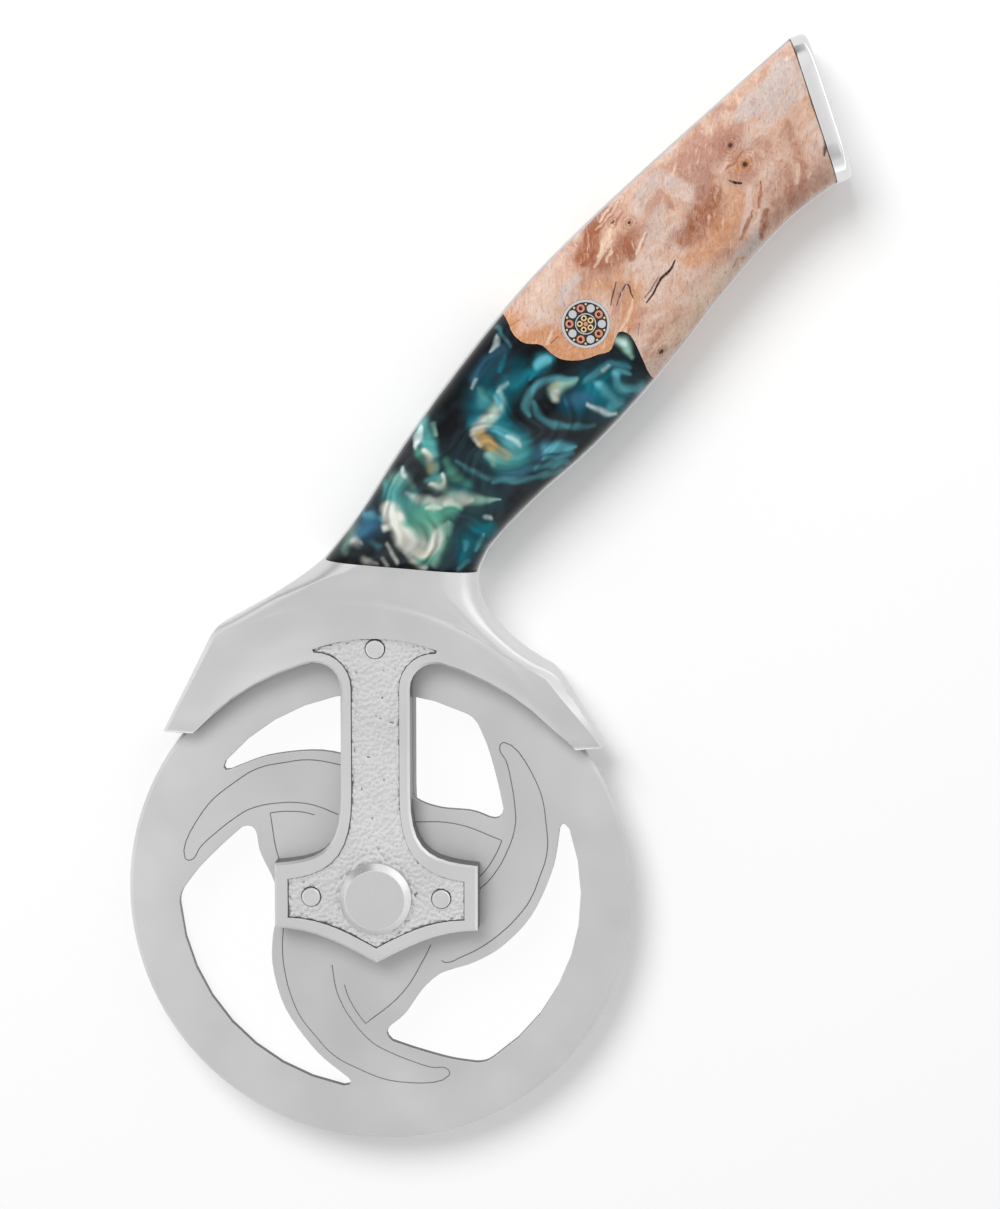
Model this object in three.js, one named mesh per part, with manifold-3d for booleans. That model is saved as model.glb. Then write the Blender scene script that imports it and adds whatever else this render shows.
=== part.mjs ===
// Pizza wheel: a steel cutting wheel that spins in a one-piece steel fork with a hooded guard,
// on a full-tang handle with scales of burl wood and cast resin.
// Millimetres. X runs to the right, Y up the arm toward the handle, Z toward the front.

import * as THREE from 'three';
import { mergeVertices } from 'three/addons/utils/BufferGeometryUtils.js';
import Module from 'manifold-3d';

// Fits
const FIT_GAP = 0.05;            // between pieces that are pressed, glued or seated
const RUNNING_CLEARANCE = 0.05;  // on the radius, between axle and bushing

// Cutting wheel
const WHEEL_DIAMETER = 101.6;
const WHEEL_THICKNESS = 2;
const GRIND_WIDTH = 7;           // shallow taper of the rim, which ends in the short edge bevel
const GRIND_THICKNESS = 1.3;     // of the rim where the edge bevel starts
const EDGE_BEVEL_WIDTH = 0.7;
const EDGE_THICKNESS = 0.4;
const RIM_WIDTH = 10.2;          // plain ring outside the cut-outs
const HORN_COUNT = 3;
const HORN_INNER_RADIUS = 20.5;  // where the cut-outs come nearest the hub
// One cut-out: points as an angle about the axle and a share of the way from its inner to its outer radius
const HORN_ARC = [64.5, 139.5];
const HORN_LONG_TIP = [144.2, 0.965];
const HORN_INNER_EDGE = [[138, 0.87], [128, 0.73], [112, 0.52], [96.5, 0.318], [84, 0.16], [75, 0.055],
  [66, 0], [54, 0.05], [42, 0.235], [35, 0.335]];
const HORN_SHORT_TIP = [31, 0.415];
const HORN_SHORT_EDGE = [[34.8, 0.5], [43.3, 0.62], [53, 0.81], [59.5, 0.955]];
const HORN_CORNER = [62, 1.01];

// Axle
const AXLE_DIAMETER = 8;
const SCREW_DIAMETER = 5;
const BUSHING_WALL = 2.5;
const WASHER_DIAMETER = 18;
const SIDE_GAP = 0.6;            // from the wheel's flat to an arm, filled by a thrust washer
const PIVOT_HEAD_DIAMETER = 14.5;
const PIVOT_HEAD_HEIGHT = 2.8;
const PIVOT_CHAMFER = 1.3;
const SLEEVE_SHORT = 0.5;        // from the end of the nut's sleeve to the front panel
const BORE_SHORT = 1.5;          // from the end of the nut's bore to the rear panel
const SHANK_GAP = 0.5;           // from the end of the screw's shank to the end of the bore
const SOCKET_ACROSS_FLATS = 4;
const SOCKET_DEPTH = 1.8;

// Hammer-shaped arms
const ARM_THICKNESS = 4.9;
const ARM_WIDTH = 13.8;
const ARM_FILLET = 5;            // where an arm meets the guard
const ARM_CHAMFER = 0.5;
const FLARE_START = 21;          // height above the axle where the arm starts to widen
const HEAD_LENGTH = 40.7;
const HEAD_TOP = 6.75;
const HEAD_BOTTOM = -6.3;
const HEAD_POINT = -13.2;
// Pulls on the head's curves: for the bottom, across from the arm's middle and up from HEAD_BOTTOM;
// for the flare, out from the arm's side and up from HEAD_TOP
const HEAD_BOTTOM_PULLS = [[8.5, -2.3], [13, -0.2]];
const HEAD_FLARE_PULLS = [[3.6, 0.85], [0, 2.75]];
const ARM_ROOT = 1.2;            // of an arm into the guard
const PANEL_DEPTH = 0.9;
const PANEL_BORDER = 2.1;
const PANEL_END_BORDER = 2.65;
const PANEL_TOP_BORDER = 3.2;
const PANEL_POINT_BORDER = 3;
const PANEL_BOTTOM_PULLS = [[6.5, -2.4], [11, -0.2]];
const PANEL_FLARE_PULLS = [[4.7, 1.1], [0, 4.4]];
const CRESCENT_HALF_WIDTH = 12.4;
const CRESCENT_RISE = 3.3;       // of the panel's top arc above the guard's inner edge
const CRESCENT_TIP = 0.6;        // height of the panel's upper tips
const STUD_DIAMETER = 3.8;
const STUD_SPACING = 26.1;
const STUD_PROUD = 0.7;
const STUD_SEAT = 1.5;
const STUD_CHAMFER = 0.4;
const STUD_DOME = 0.08;
const STUD_TOP_GAP = 0.2;        // from the top stud to the panel's top arc

// Guard over the wheel, with points as an angle about the axle and a rise above the wheel's rim
const GUARD_OVERLAP = 2;         // of the guard over the wheel's rim
const SLOT_CLEARANCE = 1;        // from the wheel's rim to the bottom of the slot
const GUARD_LEFT_TIP = [142.6, 3.2];
const GUARD_LEFT_CORNER = [120.6, 11.9];
const GUARD_RIGHT_CORNER = [52.4, 7.0];
const GUARD_RIGHT_TIP = [34, 3.9];
const GUARD_LEFT_INNER_ANGLE = 138.3;
const GUARD_RIGHT_INNER_ANGLE = 39.4;
const GUARD_TIP_THICKNESS = 8.8;
const SHOULDER_START = 0.26;     // share of the way down where the bolster's crown has run out
// Edges of the guard on each side: width and drop of the shoulder's rounding, then width of the wing's bevel
// at its corner and at its tip, and its drop
const LEFT_EDGE = { round: 2.2, roundDrop: 1.6, corner: 0.9, tip: 0.6, bevelDrop: 0.6 };
const RIGHT_EDGE = { round: 3.6, roundDrop: 1.8, corner: 2.1, tip: 0.6, bevelDrop: 1.2 };
const LEFT_HEEL_DROP = 1.4;      // of the rounded lower corner of each wing
const RIGHT_HEEL_DROP = 2.6;
const RIGHT_WAIST = 1.7;         // how far the right shoulder tucks in under the bolster
const RIGHT_SWEEP = 4.4;         // how high it runs above the right corner on its way out

// Handle, in its own frame: along the axis from the bolster, and across it toward the back
const HANDLE_ANGLE = 48;
const HANDLE_OFFSET = 5.2;       // of the bolster's middle from the arm's centre line
const BOLSTER_RISE = 15.2;       // of the bolster's middle above the wheel's rim
const HANDLE_LENGTH = 119.5;
const HANDLE_THICKNESS = 18.4;
const BOLSTER_SKEW = 9.4;        // how far the ends of the bolster line lean along the handle
const BUTT_SKEW = 7.1;
const TANG_THICKNESS = 3;
const TANG_PROUD = 0.5;          // of the tang's edge beyond the scales
const CROWN_WIDTH = 7;           // rounding at the edges of the scales
const SCALE_EDGE = 1.1;          // height of the scales at their edge above the tang
const CAP_THICKNESS = 3.2;
const CAP_ROUNDING = 1.1;
// Share of each edge's length, and its distance from the axis
const BACK_EDGE = [[0, 12.8], [0.08, 13.5], [0.18, 15.8], [0.3, 17.8], [0.46, 19.2], [0.6, 18.6], [0.8, 16],
  [1, 12.9]];
const BELLY_EDGE = [[0, -11.6], [0.04, -10.3], [0.1, -10.05], [0.2, -10.6], [0.32, -12], [0.45, -12.3],
  [0.57, -11.8], [0.67, -10.9], [0.77, -10.4], [0.87, -10.4], [0.93, -11.1], [1, -12.6]];
// Line where the burl meets the resin, along and across
const BURL_LINE = [[50.6, 24], [50.4, 17.7], [49.2, 14.3], [49.4, 11.4], [51.3, 8.8], [51.4, 6], [52.1, 3.6],
  [54.4, 1], [57.2, -0.6], [59.4, -1.9], [61.6, -1.2], [63.4, -0.8], [64.2, -3], [62.5, -7.4], [60.9, -11.2],
  [60.4, -18]];

// Mosaic pin
const PIN_DIAMETER = 9.4;
const PIN_ALONG = 60.1;
const PIN_ACROSS = 5.1;
const PIN_TUBE_WALL = 0.5;
const PIN_INNER_DIAMETER = 4.1;
const PIN_INNER_WALL = 0.2;
const PIN_WEB = 0.22;            // epoxy left between a rod and its neighbours
const PIN_ROD_COUNT = 5;
const PIN_WIRE_DIAMETER = 0.48;
const PIN_WIRE_MARGIN = 0.16;    // epoxy between a wire and the outer tube
const PIN_CORE_DIAMETER = 0.9;
const PIN_BORE_SHARE = 0.5;      // bore of the small tubes as a share of their diameter

// Worked-out sizes
const wheelRadius = WHEEL_DIAMETER / 2;
const hornRadius = wheelRadius - RIM_WIDTH;
const guardRadius = wheelRadius - GUARD_OVERLAP;
const slotRadius = wheelRadius + SLOT_CLEARANCE;
const slotHalf = WHEEL_THICKNESS / 2 + SIDE_GAP;
const armFace = slotHalf + ARM_THICKNESS;
const panelFace = armFace - PANEL_DEPTH;
const axleRadius = AXLE_DIAMETER / 2;
const handleHalf = HANDLE_THICKNESS / 2;
const tangHalf = TANG_THICKNESS / 2;
const scaleEdge = tangHalf + SCALE_EDGE;
const pinRadius = PIN_DIAMETER / 2;

const ROUND_SEGMENTS = 36;
const WHEEL_SEGMENTS = 108;
const STUD_SEGMENTS = 18;
const PIN_SEGMENTS = 24;
const ROD_SEGMENTS = 10;
const WIRE_SEGMENTS = 6;

const wasm = await Module();
wasm.setup();

// Solids and booleans

function solid(geometry) {
  const bare = geometry.clone();
  bare.deleteAttribute('normal');
  bare.deleteAttribute('uv');
  const welded = mergeVertices(bare, 1e-5);
  const vertProperties = new Float32Array(welded.attributes.position.array);
  const triVerts = new Uint32Array(welded.index.array);
  return new wasm.Manifold(new wasm.Mesh({ numProp: 3, vertProperties, triVerts }));
}

function toGeometry(body) {
  const mesh = body.getMesh();
  const geometry = new THREE.BufferGeometry();
  geometry.setAttribute('position', new THREE.BufferAttribute(mesh.vertProperties, 3));
  geometry.setIndex(new THREE.BufferAttribute(mesh.triVerts, 1));
  geometry.computeVertexNormals();
  return geometry;
}

function prism(shape, low, high, curveSegments = 12) {
  const options = { depth: high - low, bevelEnabled: false, curveSegments };
  return new THREE.ExtrudeGeometry(shape, options).translate(0, 0, low);
}

// A profile of [radius, height] pairs turned about the Z axis
function turned(profile, segments) {
  const points = profile.map(([radius, height]) => new THREE.Vector2(radius, height));
  return new THREE.LatheGeometry(points, segments).rotateX(Math.PI / 2);
}

function rod(radius, low, high, segments) {
  return turned([[0, low], [radius, low], [radius, high], [0, high]], segments);
}

function tube(outer, inner, low, high, segments) {
  return turned([[inner, low], [outer, low], [outer, high], [inner, high], [inner, low]], segments);
}

// Which way a grid's rows follow each other, seen from the front
function turnOfGrid(grid) {
  const start = grid[0][0];
  const across = grid[0][grid[0].length - 1];
  const next = grid[1][0];
  return (next.x - start.x) * (across.y - start.y) - (next.y - start.y) * (across.x - start.x);
}

// A slab between a front and a back surface over one grid of points {x, y, front, back}
function slab(grid) {
  const rows = turnOfGrid(grid) > 0 ? grid : [...grid].reverse();
  const columns = rows[0].length;
  const positions = [];
  for (const side of ['front', 'back']) {
    for (const row of rows) {
      for (const point of row) positions.push(point.x, point.y, point[side]);
    }
  }
  const backStart = rows.length * columns;
  const index = [];
  const quad = (a, b, c, d) => index.push(a, b, c, a, c, d);
  for (let r = 0; r + 1 < rows.length; r += 1) {
    for (let c = 0; c + 1 < columns; c += 1) {
      const a = r * columns + c;
      const below = a + columns;
      quad(a, below, below + 1, a + 1);
      quad(backStart + a, backStart + a + 1, backStart + below + 1, backStart + below);
    }
    const first = r * columns;
    const last = first + columns - 1;
    quad(first, backStart + first, backStart + first + columns, first + columns);
    quad(last, last + columns, backStart + last + columns, backStart + last);
  }
  for (let c = 0; c + 1 < columns; c += 1) {
    const end = backStart - columns + c;
    quad(c, c + 1, backStart + c + 1, backStart + c);
    quad(end, backStart + end, backStart + end + 1, end + 1);
  }
  const geometry = new THREE.BufferGeometry();
  geometry.setAttribute('position', new THREE.Float32BufferAttribute(positions, 3));
  geometry.setIndex(index);
  return geometry;
}

// Plane geometry helpers

function polar(degrees, radius) {
  const angle = THREE.MathUtils.degToRad(degrees);
  return new THREE.Vector2(radius * Math.cos(angle), radius * Math.sin(angle));
}

const lerp = THREE.MathUtils.lerp;
const smoothstep = THREE.MathUtils.smoothstep;

function handlePoint(along, across) {
  const base = new THREE.Vector2(HANDLE_OFFSET, wheelRadius + BOLSTER_RISE);
  const angle = THREE.MathUtils.degToRad(HANDLE_ANGLE);
  return new THREE.Vector2(along, across).rotateAround(new THREE.Vector2(), angle).add(base);
}

function handleEdge(profile, start, end) {
  const points = profile.map(([share, across]) => handlePoint(lerp(start, end, share), across));
  return new THREE.SplineCurve(points);
}

const backEdge = handleEdge(BACK_EDGE, -BOLSTER_SKEW, HANDLE_LENGTH + BUTT_SKEW);
const bellyEdge = handleEdge(BELLY_EDGE, BOLSTER_SKEW, HANDLE_LENGTH - BUTT_SKEW);

// Height of a rounded edge at a distance in from it: a quarter ellipse, or a flat bevel
function edgeHeight(distance, width, edge, top, bevelShare = 0) {
  const reach = Math.min(distance / width, 1);
  const round = Math.sqrt(1 - (1 - reach) ** 2);
  return edge + (top - edge) * lerp(round, reach, bevelShare);
}

// Places across a row: close together over the rounded edges, even between them
function acrossStations(length, startWidth, endWidth, edgeSteps, middleSteps) {
  const shares = [];
  for (let k = 0; k <= edgeSteps; k += 1) shares.push((k / edgeSteps) ** 1.8);
  const start = startWidth / length;
  const end = endWidth / length;
  const stations = shares.map((share) => start * share);
  for (let k = 1; k < middleSteps; k += 1) stations.push(lerp(start, 1 - end, k / middleSteps));
  return [...stations, ...shares.map((share) => 1 - end * share).reverse()];
}

// Cutting wheel

function hornPoint([degrees, share]) {
  return polar(degrees, lerp(HORN_INNER_RADIUS, hornRadius, share));
}

// Outline of one cut-out: outer arc, long tip, inner edge, short tip, short edge and corner
function hornShape(turn) {
  const place = ([degrees, share]) => hornPoint([degrees + turn, share]);
  const [arcStart, arcEnd] = HORN_ARC.map((degrees) => THREE.MathUtils.degToRad(degrees + turn));
  const shape = new THREE.Shape();
  shape.absarc(0, 0, hornRadius, arcStart, arcEnd, false);
  const longTip = place(HORN_LONG_TIP);
  const inner = HORN_INNER_EDGE.map(place);
  shape.quadraticCurveTo(longTip.x, longTip.y, inner[0].x, inner[0].y);
  shape.splineThru(inner.slice(1));
  const shortTip = place(HORN_SHORT_TIP);
  const outer = HORN_SHORT_EDGE.map(place);
  shape.quadraticCurveTo(shortTip.x, shortTip.y, outer[0].x, outer[0].y);
  shape.splineThru(outer.slice(1));
  const corner = place(HORN_CORNER);
  const arcPoint = place([HORN_ARC[0], 1]);
  shape.quadraticCurveTo(corner.x, corner.y, arcPoint.x, arcPoint.y);
  return shape;
}

const bushingRadius = axleRadius + RUNNING_CLEARANCE + BUSHING_WALL;

function wheelBlade() {
  const half = WHEEL_THICKNESS / 2;
  const ground = GRIND_THICKNESS / 2;
  const edge = EDGE_THICKNESS / 2;
  const bore = bushingRadius + FIT_GAP;
  const grindStart = wheelRadius - GRIND_WIDTH;
  const bevelStart = wheelRadius - EDGE_BEVEL_WIDTH;
  const disc = [[bore, -half], [grindStart, -half], [bevelStart, -ground], [wheelRadius, -edge],
    [wheelRadius, edge], [bevelStart, ground], [grindStart, half], [bore, half], [bore, -half]];
  let blade = solid(turned(disc, WHEEL_SEGMENTS));
  for (let k = 0; k < HORN_COUNT; k += 1) {
    const cut = prism(hornShape((360 / HORN_COUNT) * k), -WHEEL_THICKNESS, WHEEL_THICKNESS, 4);
    blade = blade.subtract(solid(cut));
  }
  return toGeometry(blade);
}

// Hammer-shaped arm and its recessed panel, drawn on the right and mirrored to the left

const filletCentre = new THREE.Vector2(ARM_WIDTH / 2 + ARM_FILLET, 0);
filletCentre.y = Math.sqrt((guardRadius - ARM_FILLET) ** 2 - filletCentre.x ** 2);

function mirroredShape(rightHalf) {
  const offCentre = rightHalf.filter((point) => point.x > 1e-6);
  const leftHalf = offCentre.map((point) => new THREE.Vector2(-point.x, point.y)).reverse();
  return new THREE.Shape([...rightHalf, ...leftHalf]);
}

function arcPoints(centre, radius, startDegrees, endDegrees, steps) {
  const points = [];
  for (let k = 0; k <= steps; k += 1) {
    points.push(polar(lerp(startDegrees, endDegrees, k / steps), radius).add(centre));
  }
  return points;
}

function bezierPoints(corners, steps) {
  const [a, b, c, d] = corners.map(([x, y]) => new THREE.Vector2(x, y));
  return new THREE.CubicBezierCurve(a, b, c, d).getPoints(steps);
}

// Curve from the head's point, or the panel's, to the end of the head
function headBottom(point, end, edge, pulls) {
  const [first, second] = pulls.map(([across, up]) => [across, edge + up]);
  return bezierPoints([[0, point], first, second, [end, edge]], 7);
}

// Curve from the end of the head up to the straight side of the arm, or of the panel
function headFlare(end, edge, side, pulls, sideStart) {
  const [first, second] = pulls.map(([out, up]) => [side + out, edge + up]);
  return bezierPoints([[end, edge], first, second, [side, sideStart]], 9);
}

function armShape() {
  const halfWidth = ARM_WIDTH / 2;
  const halfHead = HEAD_LENGTH / 2;
  const bottom = headBottom(HEAD_POINT, halfHead, HEAD_BOTTOM, HEAD_BOTTOM_PULLS);
  const flare = headFlare(halfHead, HEAD_TOP, halfWidth, HEAD_FLARE_PULLS, FLARE_START);
  const tangentAngle = THREE.MathUtils.radToDeg(Math.atan2(filletCentre.y, filletCentre.x));
  const fillet = arcPoints(filletCentre, ARM_FILLET, 180, tangentAngle, 7);
  const shoulder = fillet[fillet.length - 1].x;
  const top = new THREE.Vector2(shoulder, guardRadius + ARM_ROOT);
  return mirroredShape([...bottom, ...flare, ...fillet, top]);
}

function panelShape() {
  const halfWidth = ARM_WIDTH / 2 - PANEL_BORDER;
  const halfHead = HEAD_LENGTH / 2 - PANEL_END_BORDER;
  const point = HEAD_POINT + PANEL_POINT_BORDER;
  const bottom = headBottom(point, halfHead, HEAD_BOTTOM + PANEL_BORDER, PANEL_BOTTOM_PULLS);
  const topEdge = HEAD_TOP - PANEL_TOP_BORDER;
  const flare = headFlare(halfHead, topEdge, halfWidth, PANEL_FLARE_PULLS, FLARE_START - ARM_CHAMFER);
  const crescent = arcPoints(filletCentre, ARM_FILLET + PANEL_BORDER, 180, 88, 7);
  const peak = guardRadius + CRESCENT_RISE;
  const tipHeight = crescent[crescent.length - 1].y + CRESCENT_TIP;
  const sagitta = peak - tipHeight;
  const topRadius = (CRESCENT_HALF_WIDTH ** 2 + sagitta ** 2) / (2 * sagitta);
  const spread = THREE.MathUtils.radToDeg(Math.asin(CRESCENT_HALF_WIDTH / topRadius));
  const top = arcPoints(new THREE.Vector2(0, peak - topRadius), topRadius, 90 - spread, 90, 6);
  return mirroredShape([...bottom, ...flare, ...crescent, ...top]);
}

function armBody() {
  const options = { depth: armFace - slotHalf, bevelEnabled: true, bevelThickness: ARM_CHAMFER,
    bevelSize: ARM_CHAMFER, bevelOffset: -ARM_CHAMFER, bevelSegments: 1 };
  const geometry = new THREE.ExtrudeGeometry(armShape(), options);
  return geometry.translate(0, 0, slotHalf - ARM_CHAMFER);
}

// Studs: places on the panel, used for the holes and for the studs themselves
const studPlaces = {
  left: new THREE.Vector2(-STUD_SPACING / 2, 0),
  right: new THREE.Vector2(STUD_SPACING / 2, 0),
  top: new THREE.Vector2(0, guardRadius + CRESCENT_RISE - STUD_DIAMETER / 2 - STUD_TOP_GAP),
};

// Guard and bolster: one crowned surface between the bolster line and the guard's inner arc

function rimPoint([degrees, rise]) {
  return polar(degrees, wheelRadius + rise);
}

function curveThrough(first, second) {
  return (share) => (share < 0.5 ? first.getPointAt(share * 2) : second.getPointAt(share * 2 - 1));
}

function between(from, to, shareX, shareY) {
  return new THREE.Vector2(lerp(from.x, to.x, shareX), lerp(from.y, to.y, shareY));
}

function guardBoundaries() {
  const bolsterLeft = backEdge.getPoint(0);
  const bolsterRight = bellyEdge.getPoint(0);
  const leftTip = rimPoint(GUARD_LEFT_TIP);
  const leftCorner = rimPoint(GUARD_LEFT_CORNER);
  const rightTip = rimPoint(GUARD_RIGHT_TIP);
  const rightCorner = rimPoint(GUARD_RIGHT_CORNER);
  const leftInner = polar(GUARD_LEFT_INNER_ANGLE, guardRadius);
  const rightInner = polar(GUARD_RIGHT_INNER_ANGLE, guardRadius);

  const leftBend = between(bolsterLeft, leftCorner, 0.3, 0.42);
  const leftShoulder = new THREE.QuadraticBezierCurve(bolsterLeft, leftBend, leftCorner);
  const waist = between(bolsterRight, rightCorner, 0, 0.4);
  waist.x -= RIGHT_WAIST;
  const sweep = between(bolsterRight, rightCorner, 0.38, 1);
  sweep.y += RIGHT_SWEEP;
  const rightShoulder = new THREE.CubicBezierCurve(bolsterRight, waist, sweep, rightCorner);

  const left = curveThrough(leftShoulder, new THREE.LineCurve(leftCorner, leftTip));
  const right = curveThrough(rightShoulder, new THREE.LineCurve(rightCorner, rightTip));
  const inner = new THREE.CurvePath();
  const leftHeel = between(leftTip, leftInner, 0.45, 0.45);
  leftHeel.y -= LEFT_HEEL_DROP;
  const rightHeel = between(rightTip, rightInner, 0.5, 0.5);
  rightHeel.y -= RIGHT_HEEL_DROP;
  inner.add(new THREE.QuadraticBezierCurve(leftTip, leftHeel, leftInner));
  const startAngle = THREE.MathUtils.degToRad(GUARD_LEFT_INNER_ANGLE);
  const endAngle = THREE.MathUtils.degToRad(GUARD_RIGHT_INNER_ANGLE);
  inner.add(new THREE.EllipseCurve(0, 0, guardRadius, guardRadius, startAngle, endAngle, true));
  inner.add(new THREE.QuadraticBezierCurve(rightInner, rightHeel, rightTip));
  const bolster = new THREE.LineCurve(bolsterLeft, bolsterRight);
  return { bolster, inner, left, right };
}

// Point of the patch between four boundary curves: across from left to right, down from bolster to inner arc
function patchPoint(edges, across, down) {
  const top = edges.bolster.getPoint(across);
  const bottom = edges.inner.getPoint(across);
  const left = edges.left(down);
  const right = edges.right(down);
  const straight = top.lerp(bottom, down);
  const leftStraight = edges.bolster.getPoint(0).lerp(edges.inner.getPoint(0), down);
  const rightStraight = edges.bolster.getPoint(1).lerp(edges.inner.getPoint(1), down);
  straight.addScaledVector(left.sub(leftStraight), 1 - across);
  straight.addScaledVector(right.sub(rightStraight), across);
  return straight;
}

function rowLength(edges, down) {
  const steps = 24;
  let length = 0;
  for (let k = 0; k < steps; k += 1) {
    length += patchPoint(edges, k / steps, down).distanceTo(patchPoint(edges, (k + 1) / steps, down));
  }
  return length;
}

function guardBody() {
  const edges = guardBoundaries();
  const tipHalf = GUARD_TIP_THICKNESS / 2;
  const rowSteps = 20;
  const chamferShare = ARM_CHAMFER / (wheelRadius + BOLSTER_RISE - guardRadius);
  const downs = [];
  for (let k = 0; k <= rowSteps; k += 1) downs.push((k / rowSteps) * (1 - chamferShare));
  downs.push(1);
  const rows = downs.map((down) => {
    const length = rowLength(edges, down);
    const wing = smoothstep(down, 0.45, 0.55);
    const shoulder = smoothstep(down, 0, SHOULDER_START);
    const [leftWidth, rightWidth] = [LEFT_EDGE, RIGHT_EDGE].map((side) => {
      const bevelWidth = lerp(side.corner, side.tip, smoothstep(down, 0.5, 1));
      return lerp(CROWN_WIDTH + TANG_PROUD, lerp(side.round, bevelWidth, wing), shoulder);
    });
    const chamfer = down === 1 ? ARM_CHAMFER : 0;
    return acrossStations(length, leftWidth, rightWidth, 5, 18).map((across) => {
      const onLeft = across < 0.5;
      const side = onLeft ? LEFT_EDGE : RIGHT_EDGE;
      const point = patchPoint(edges, across, down);
      const innerTop = lerp(armFace, tipHalf, smoothstep(Math.abs(across - 0.5), 0.17, 0.5));
      const top = lerp(handleHalf, innerTop, smoothstep(down, 0, 1)) - chamfer;
      const edge = lerp(scaleEdge, top - lerp(side.roundDrop, side.bevelDrop, wing), shoulder);
      const distance = Math.min(across, 1 - across) * length;
      const height = edgeHeight(distance, onLeft ? leftWidth : rightWidth, edge, top, wing);
      return { x: point.x, y: point.y, front: height, back: -height };
    });
  });
  return slab(rows);
}

// Handle

function crownRows(shares, inset) {
  return shares.map((share) => {
    const back = backEdge.getPointAt(share);
    const belly = bellyEdge.getPointAt(share);
    const across = belly.clone().sub(back).normalize();
    back.addScaledVector(across, inset);
    belly.addScaledVector(across, -inset);
    const length = back.distanceTo(belly);
    return acrossStations(length, CROWN_WIDTH, CROWN_WIDTH, 6, 4).map((station) => {
      const point = back.clone().lerp(belly, station);
      const distance = Math.min(station, 1 - station) * length;
      const height = edgeHeight(distance, CROWN_WIDTH, scaleEdge, handleHalf);
      return { x: point.x, y: point.y, front: height, back: -height };
    });
  });
}

function handleForm() {
  const steps = 18;
  const gapShare = FIT_GAP / backEdge.getLength();
  const shares = [];
  for (let k = 0; k <= steps; k += 1) shares.push(lerp(gapShare, 1 - gapShare, k / steps));
  return solid(slab(crownRows(shares, TANG_PROUD)));
}

function tangBody() {
  const steps = 24;
  const gapShare = FIT_GAP / backEdge.getLength();
  const back = [];
  const belly = [];
  for (let k = 0; k <= steps; k += 1) {
    const share = (k / steps) * (1 - gapShare);
    back.push(backEdge.getPointAt(share));
    belly.push(bellyEdge.getPointAt(share));
  }
  const rootDepth = 4;
  const backRoot = back[0].clone().add(new THREE.Vector2(rootDepth, -rootDepth));
  const bellyRoot = belly[0].clone().add(new THREE.Vector2(-rootDepth, -rootDepth));
  const shape = new THREE.Shape([backRoot, bellyRoot, ...belly, ...back.reverse()]);
  return prism(shape, -tangHalf, tangHalf);
}

const pinCentre = handlePoint(PIN_ALONG, PIN_ACROSS);

function pinHole(low, high) {
  return solid(rod(pinRadius + FIT_GAP, low, high, PIN_SEGMENTS).translate(pinCentre.x, pinCentre.y, 0));
}

// Outline of the burl or of the resin: the shared line moved half a gap to one side, and a far edge
function scaleRegion(isBurl) {
  const line = new THREE.SplineCurve(BURL_LINE.map(([along, across]) => handlePoint(along, across)));
  const steps = 44;
  const shift = (isBurl ? 1 : -1) * (FIT_GAP / 2);
  const points = [];
  for (let k = 0; k <= steps; k += 1) {
    const tangent = line.getTangent(k / steps);
    points.push(line.getPoint(k / steps).add(new THREE.Vector2(-tangent.y, tangent.x).multiplyScalar(shift)));
  }
  const reach = HANDLE_LENGTH;
  const farAlong = isBurl ? HANDLE_LENGTH + reach : -reach;
  points.push(handlePoint(farAlong, -reach), handlePoint(farAlong, reach));
  return new THREE.Shape(points);
}

function scaleBody(form, isBurl, isFront) {
  const inner = tangHalf + FIT_GAP;
  const outer = HANDLE_THICKNESS;
  const low = isFront ? inner : -outer;
  const high = isFront ? outer : -inner;
  const body = form.intersect(solid(prism(scaleRegion(isBurl), low, high)));
  return toGeometry(isBurl ? body.subtract(pinHole(-outer, outer)) : body);
}

function buttCap() {
  const back = backEdge.getPointAt(1);
  const belly = bellyEdge.getPointAt(1);
  const across = belly.clone().sub(back).normalize();
  const outward = new THREE.Vector2(-across.y, across.x);
  const length = back.distanceTo(belly);
  const steps = 4;
  const rows = [{ out: 0, drop: 0 }];
  for (let k = 0; k <= steps; k += 1) {
    const angle = (Math.PI / 2) * (k / steps);
    const out = CAP_THICKNESS - CAP_ROUNDING * (1 - Math.sin(angle));
    rows.push({ out, drop: CAP_ROUNDING * (1 - Math.cos(angle)) });
  }
  return slab(rows.map(({ out, drop }) => {
    const start = back.clone().addScaledVector(outward, out).addScaledVector(across, drop);
    const end = belly.clone().addScaledVector(outward, out).addScaledVector(across, -drop);
    const width = CROWN_WIDTH + TANG_PROUD;
    return acrossStations(length, width, width, 6, 4).map((station) => {
      const point = start.clone().lerp(end, station);
      const distance = Math.min(station, 1 - station) * length;
      const height = edgeHeight(distance, width, scaleEdge, handleHalf) - drop;
      return { x: point.x, y: point.y, front: height, back: -height };
    });
  }));
}

// Fork frame: guard, bolster, arms and tang in one piece

function forkFrame() {
  let body = solid(guardBody()).add(solid(tangBody()));
  for (const turn of [0, Math.PI]) body = body.add(solid(armBody().rotateY(turn)));
  body = body.subtract(solid(rod(slotRadius, -slotHalf, slotHalf, WHEEL_SEGMENTS)));
  for (const turn of [0, Math.PI]) {
    body = body.subtract(solid(prism(panelShape(), panelFace, handleHalf + armFace).rotateY(turn)));
    for (const place of Object.values(studPlaces)) {
      const hole = rod(STUD_DIAMETER / 2 + FIT_GAP, panelFace - STUD_SEAT, armFace, STUD_SEGMENTS);
      body = body.subtract(solid(hole.translate(place.x, place.y, 0).rotateY(turn)));
    }
  }
  body = body.subtract(solid(rod(axleRadius + FIT_GAP, -handleHalf, handleHalf, ROUND_SEGMENTS)));
  return toGeometry(body.subtract(pinHole(-handleHalf, handleHalf)));
}

// Axle pieces

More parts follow.
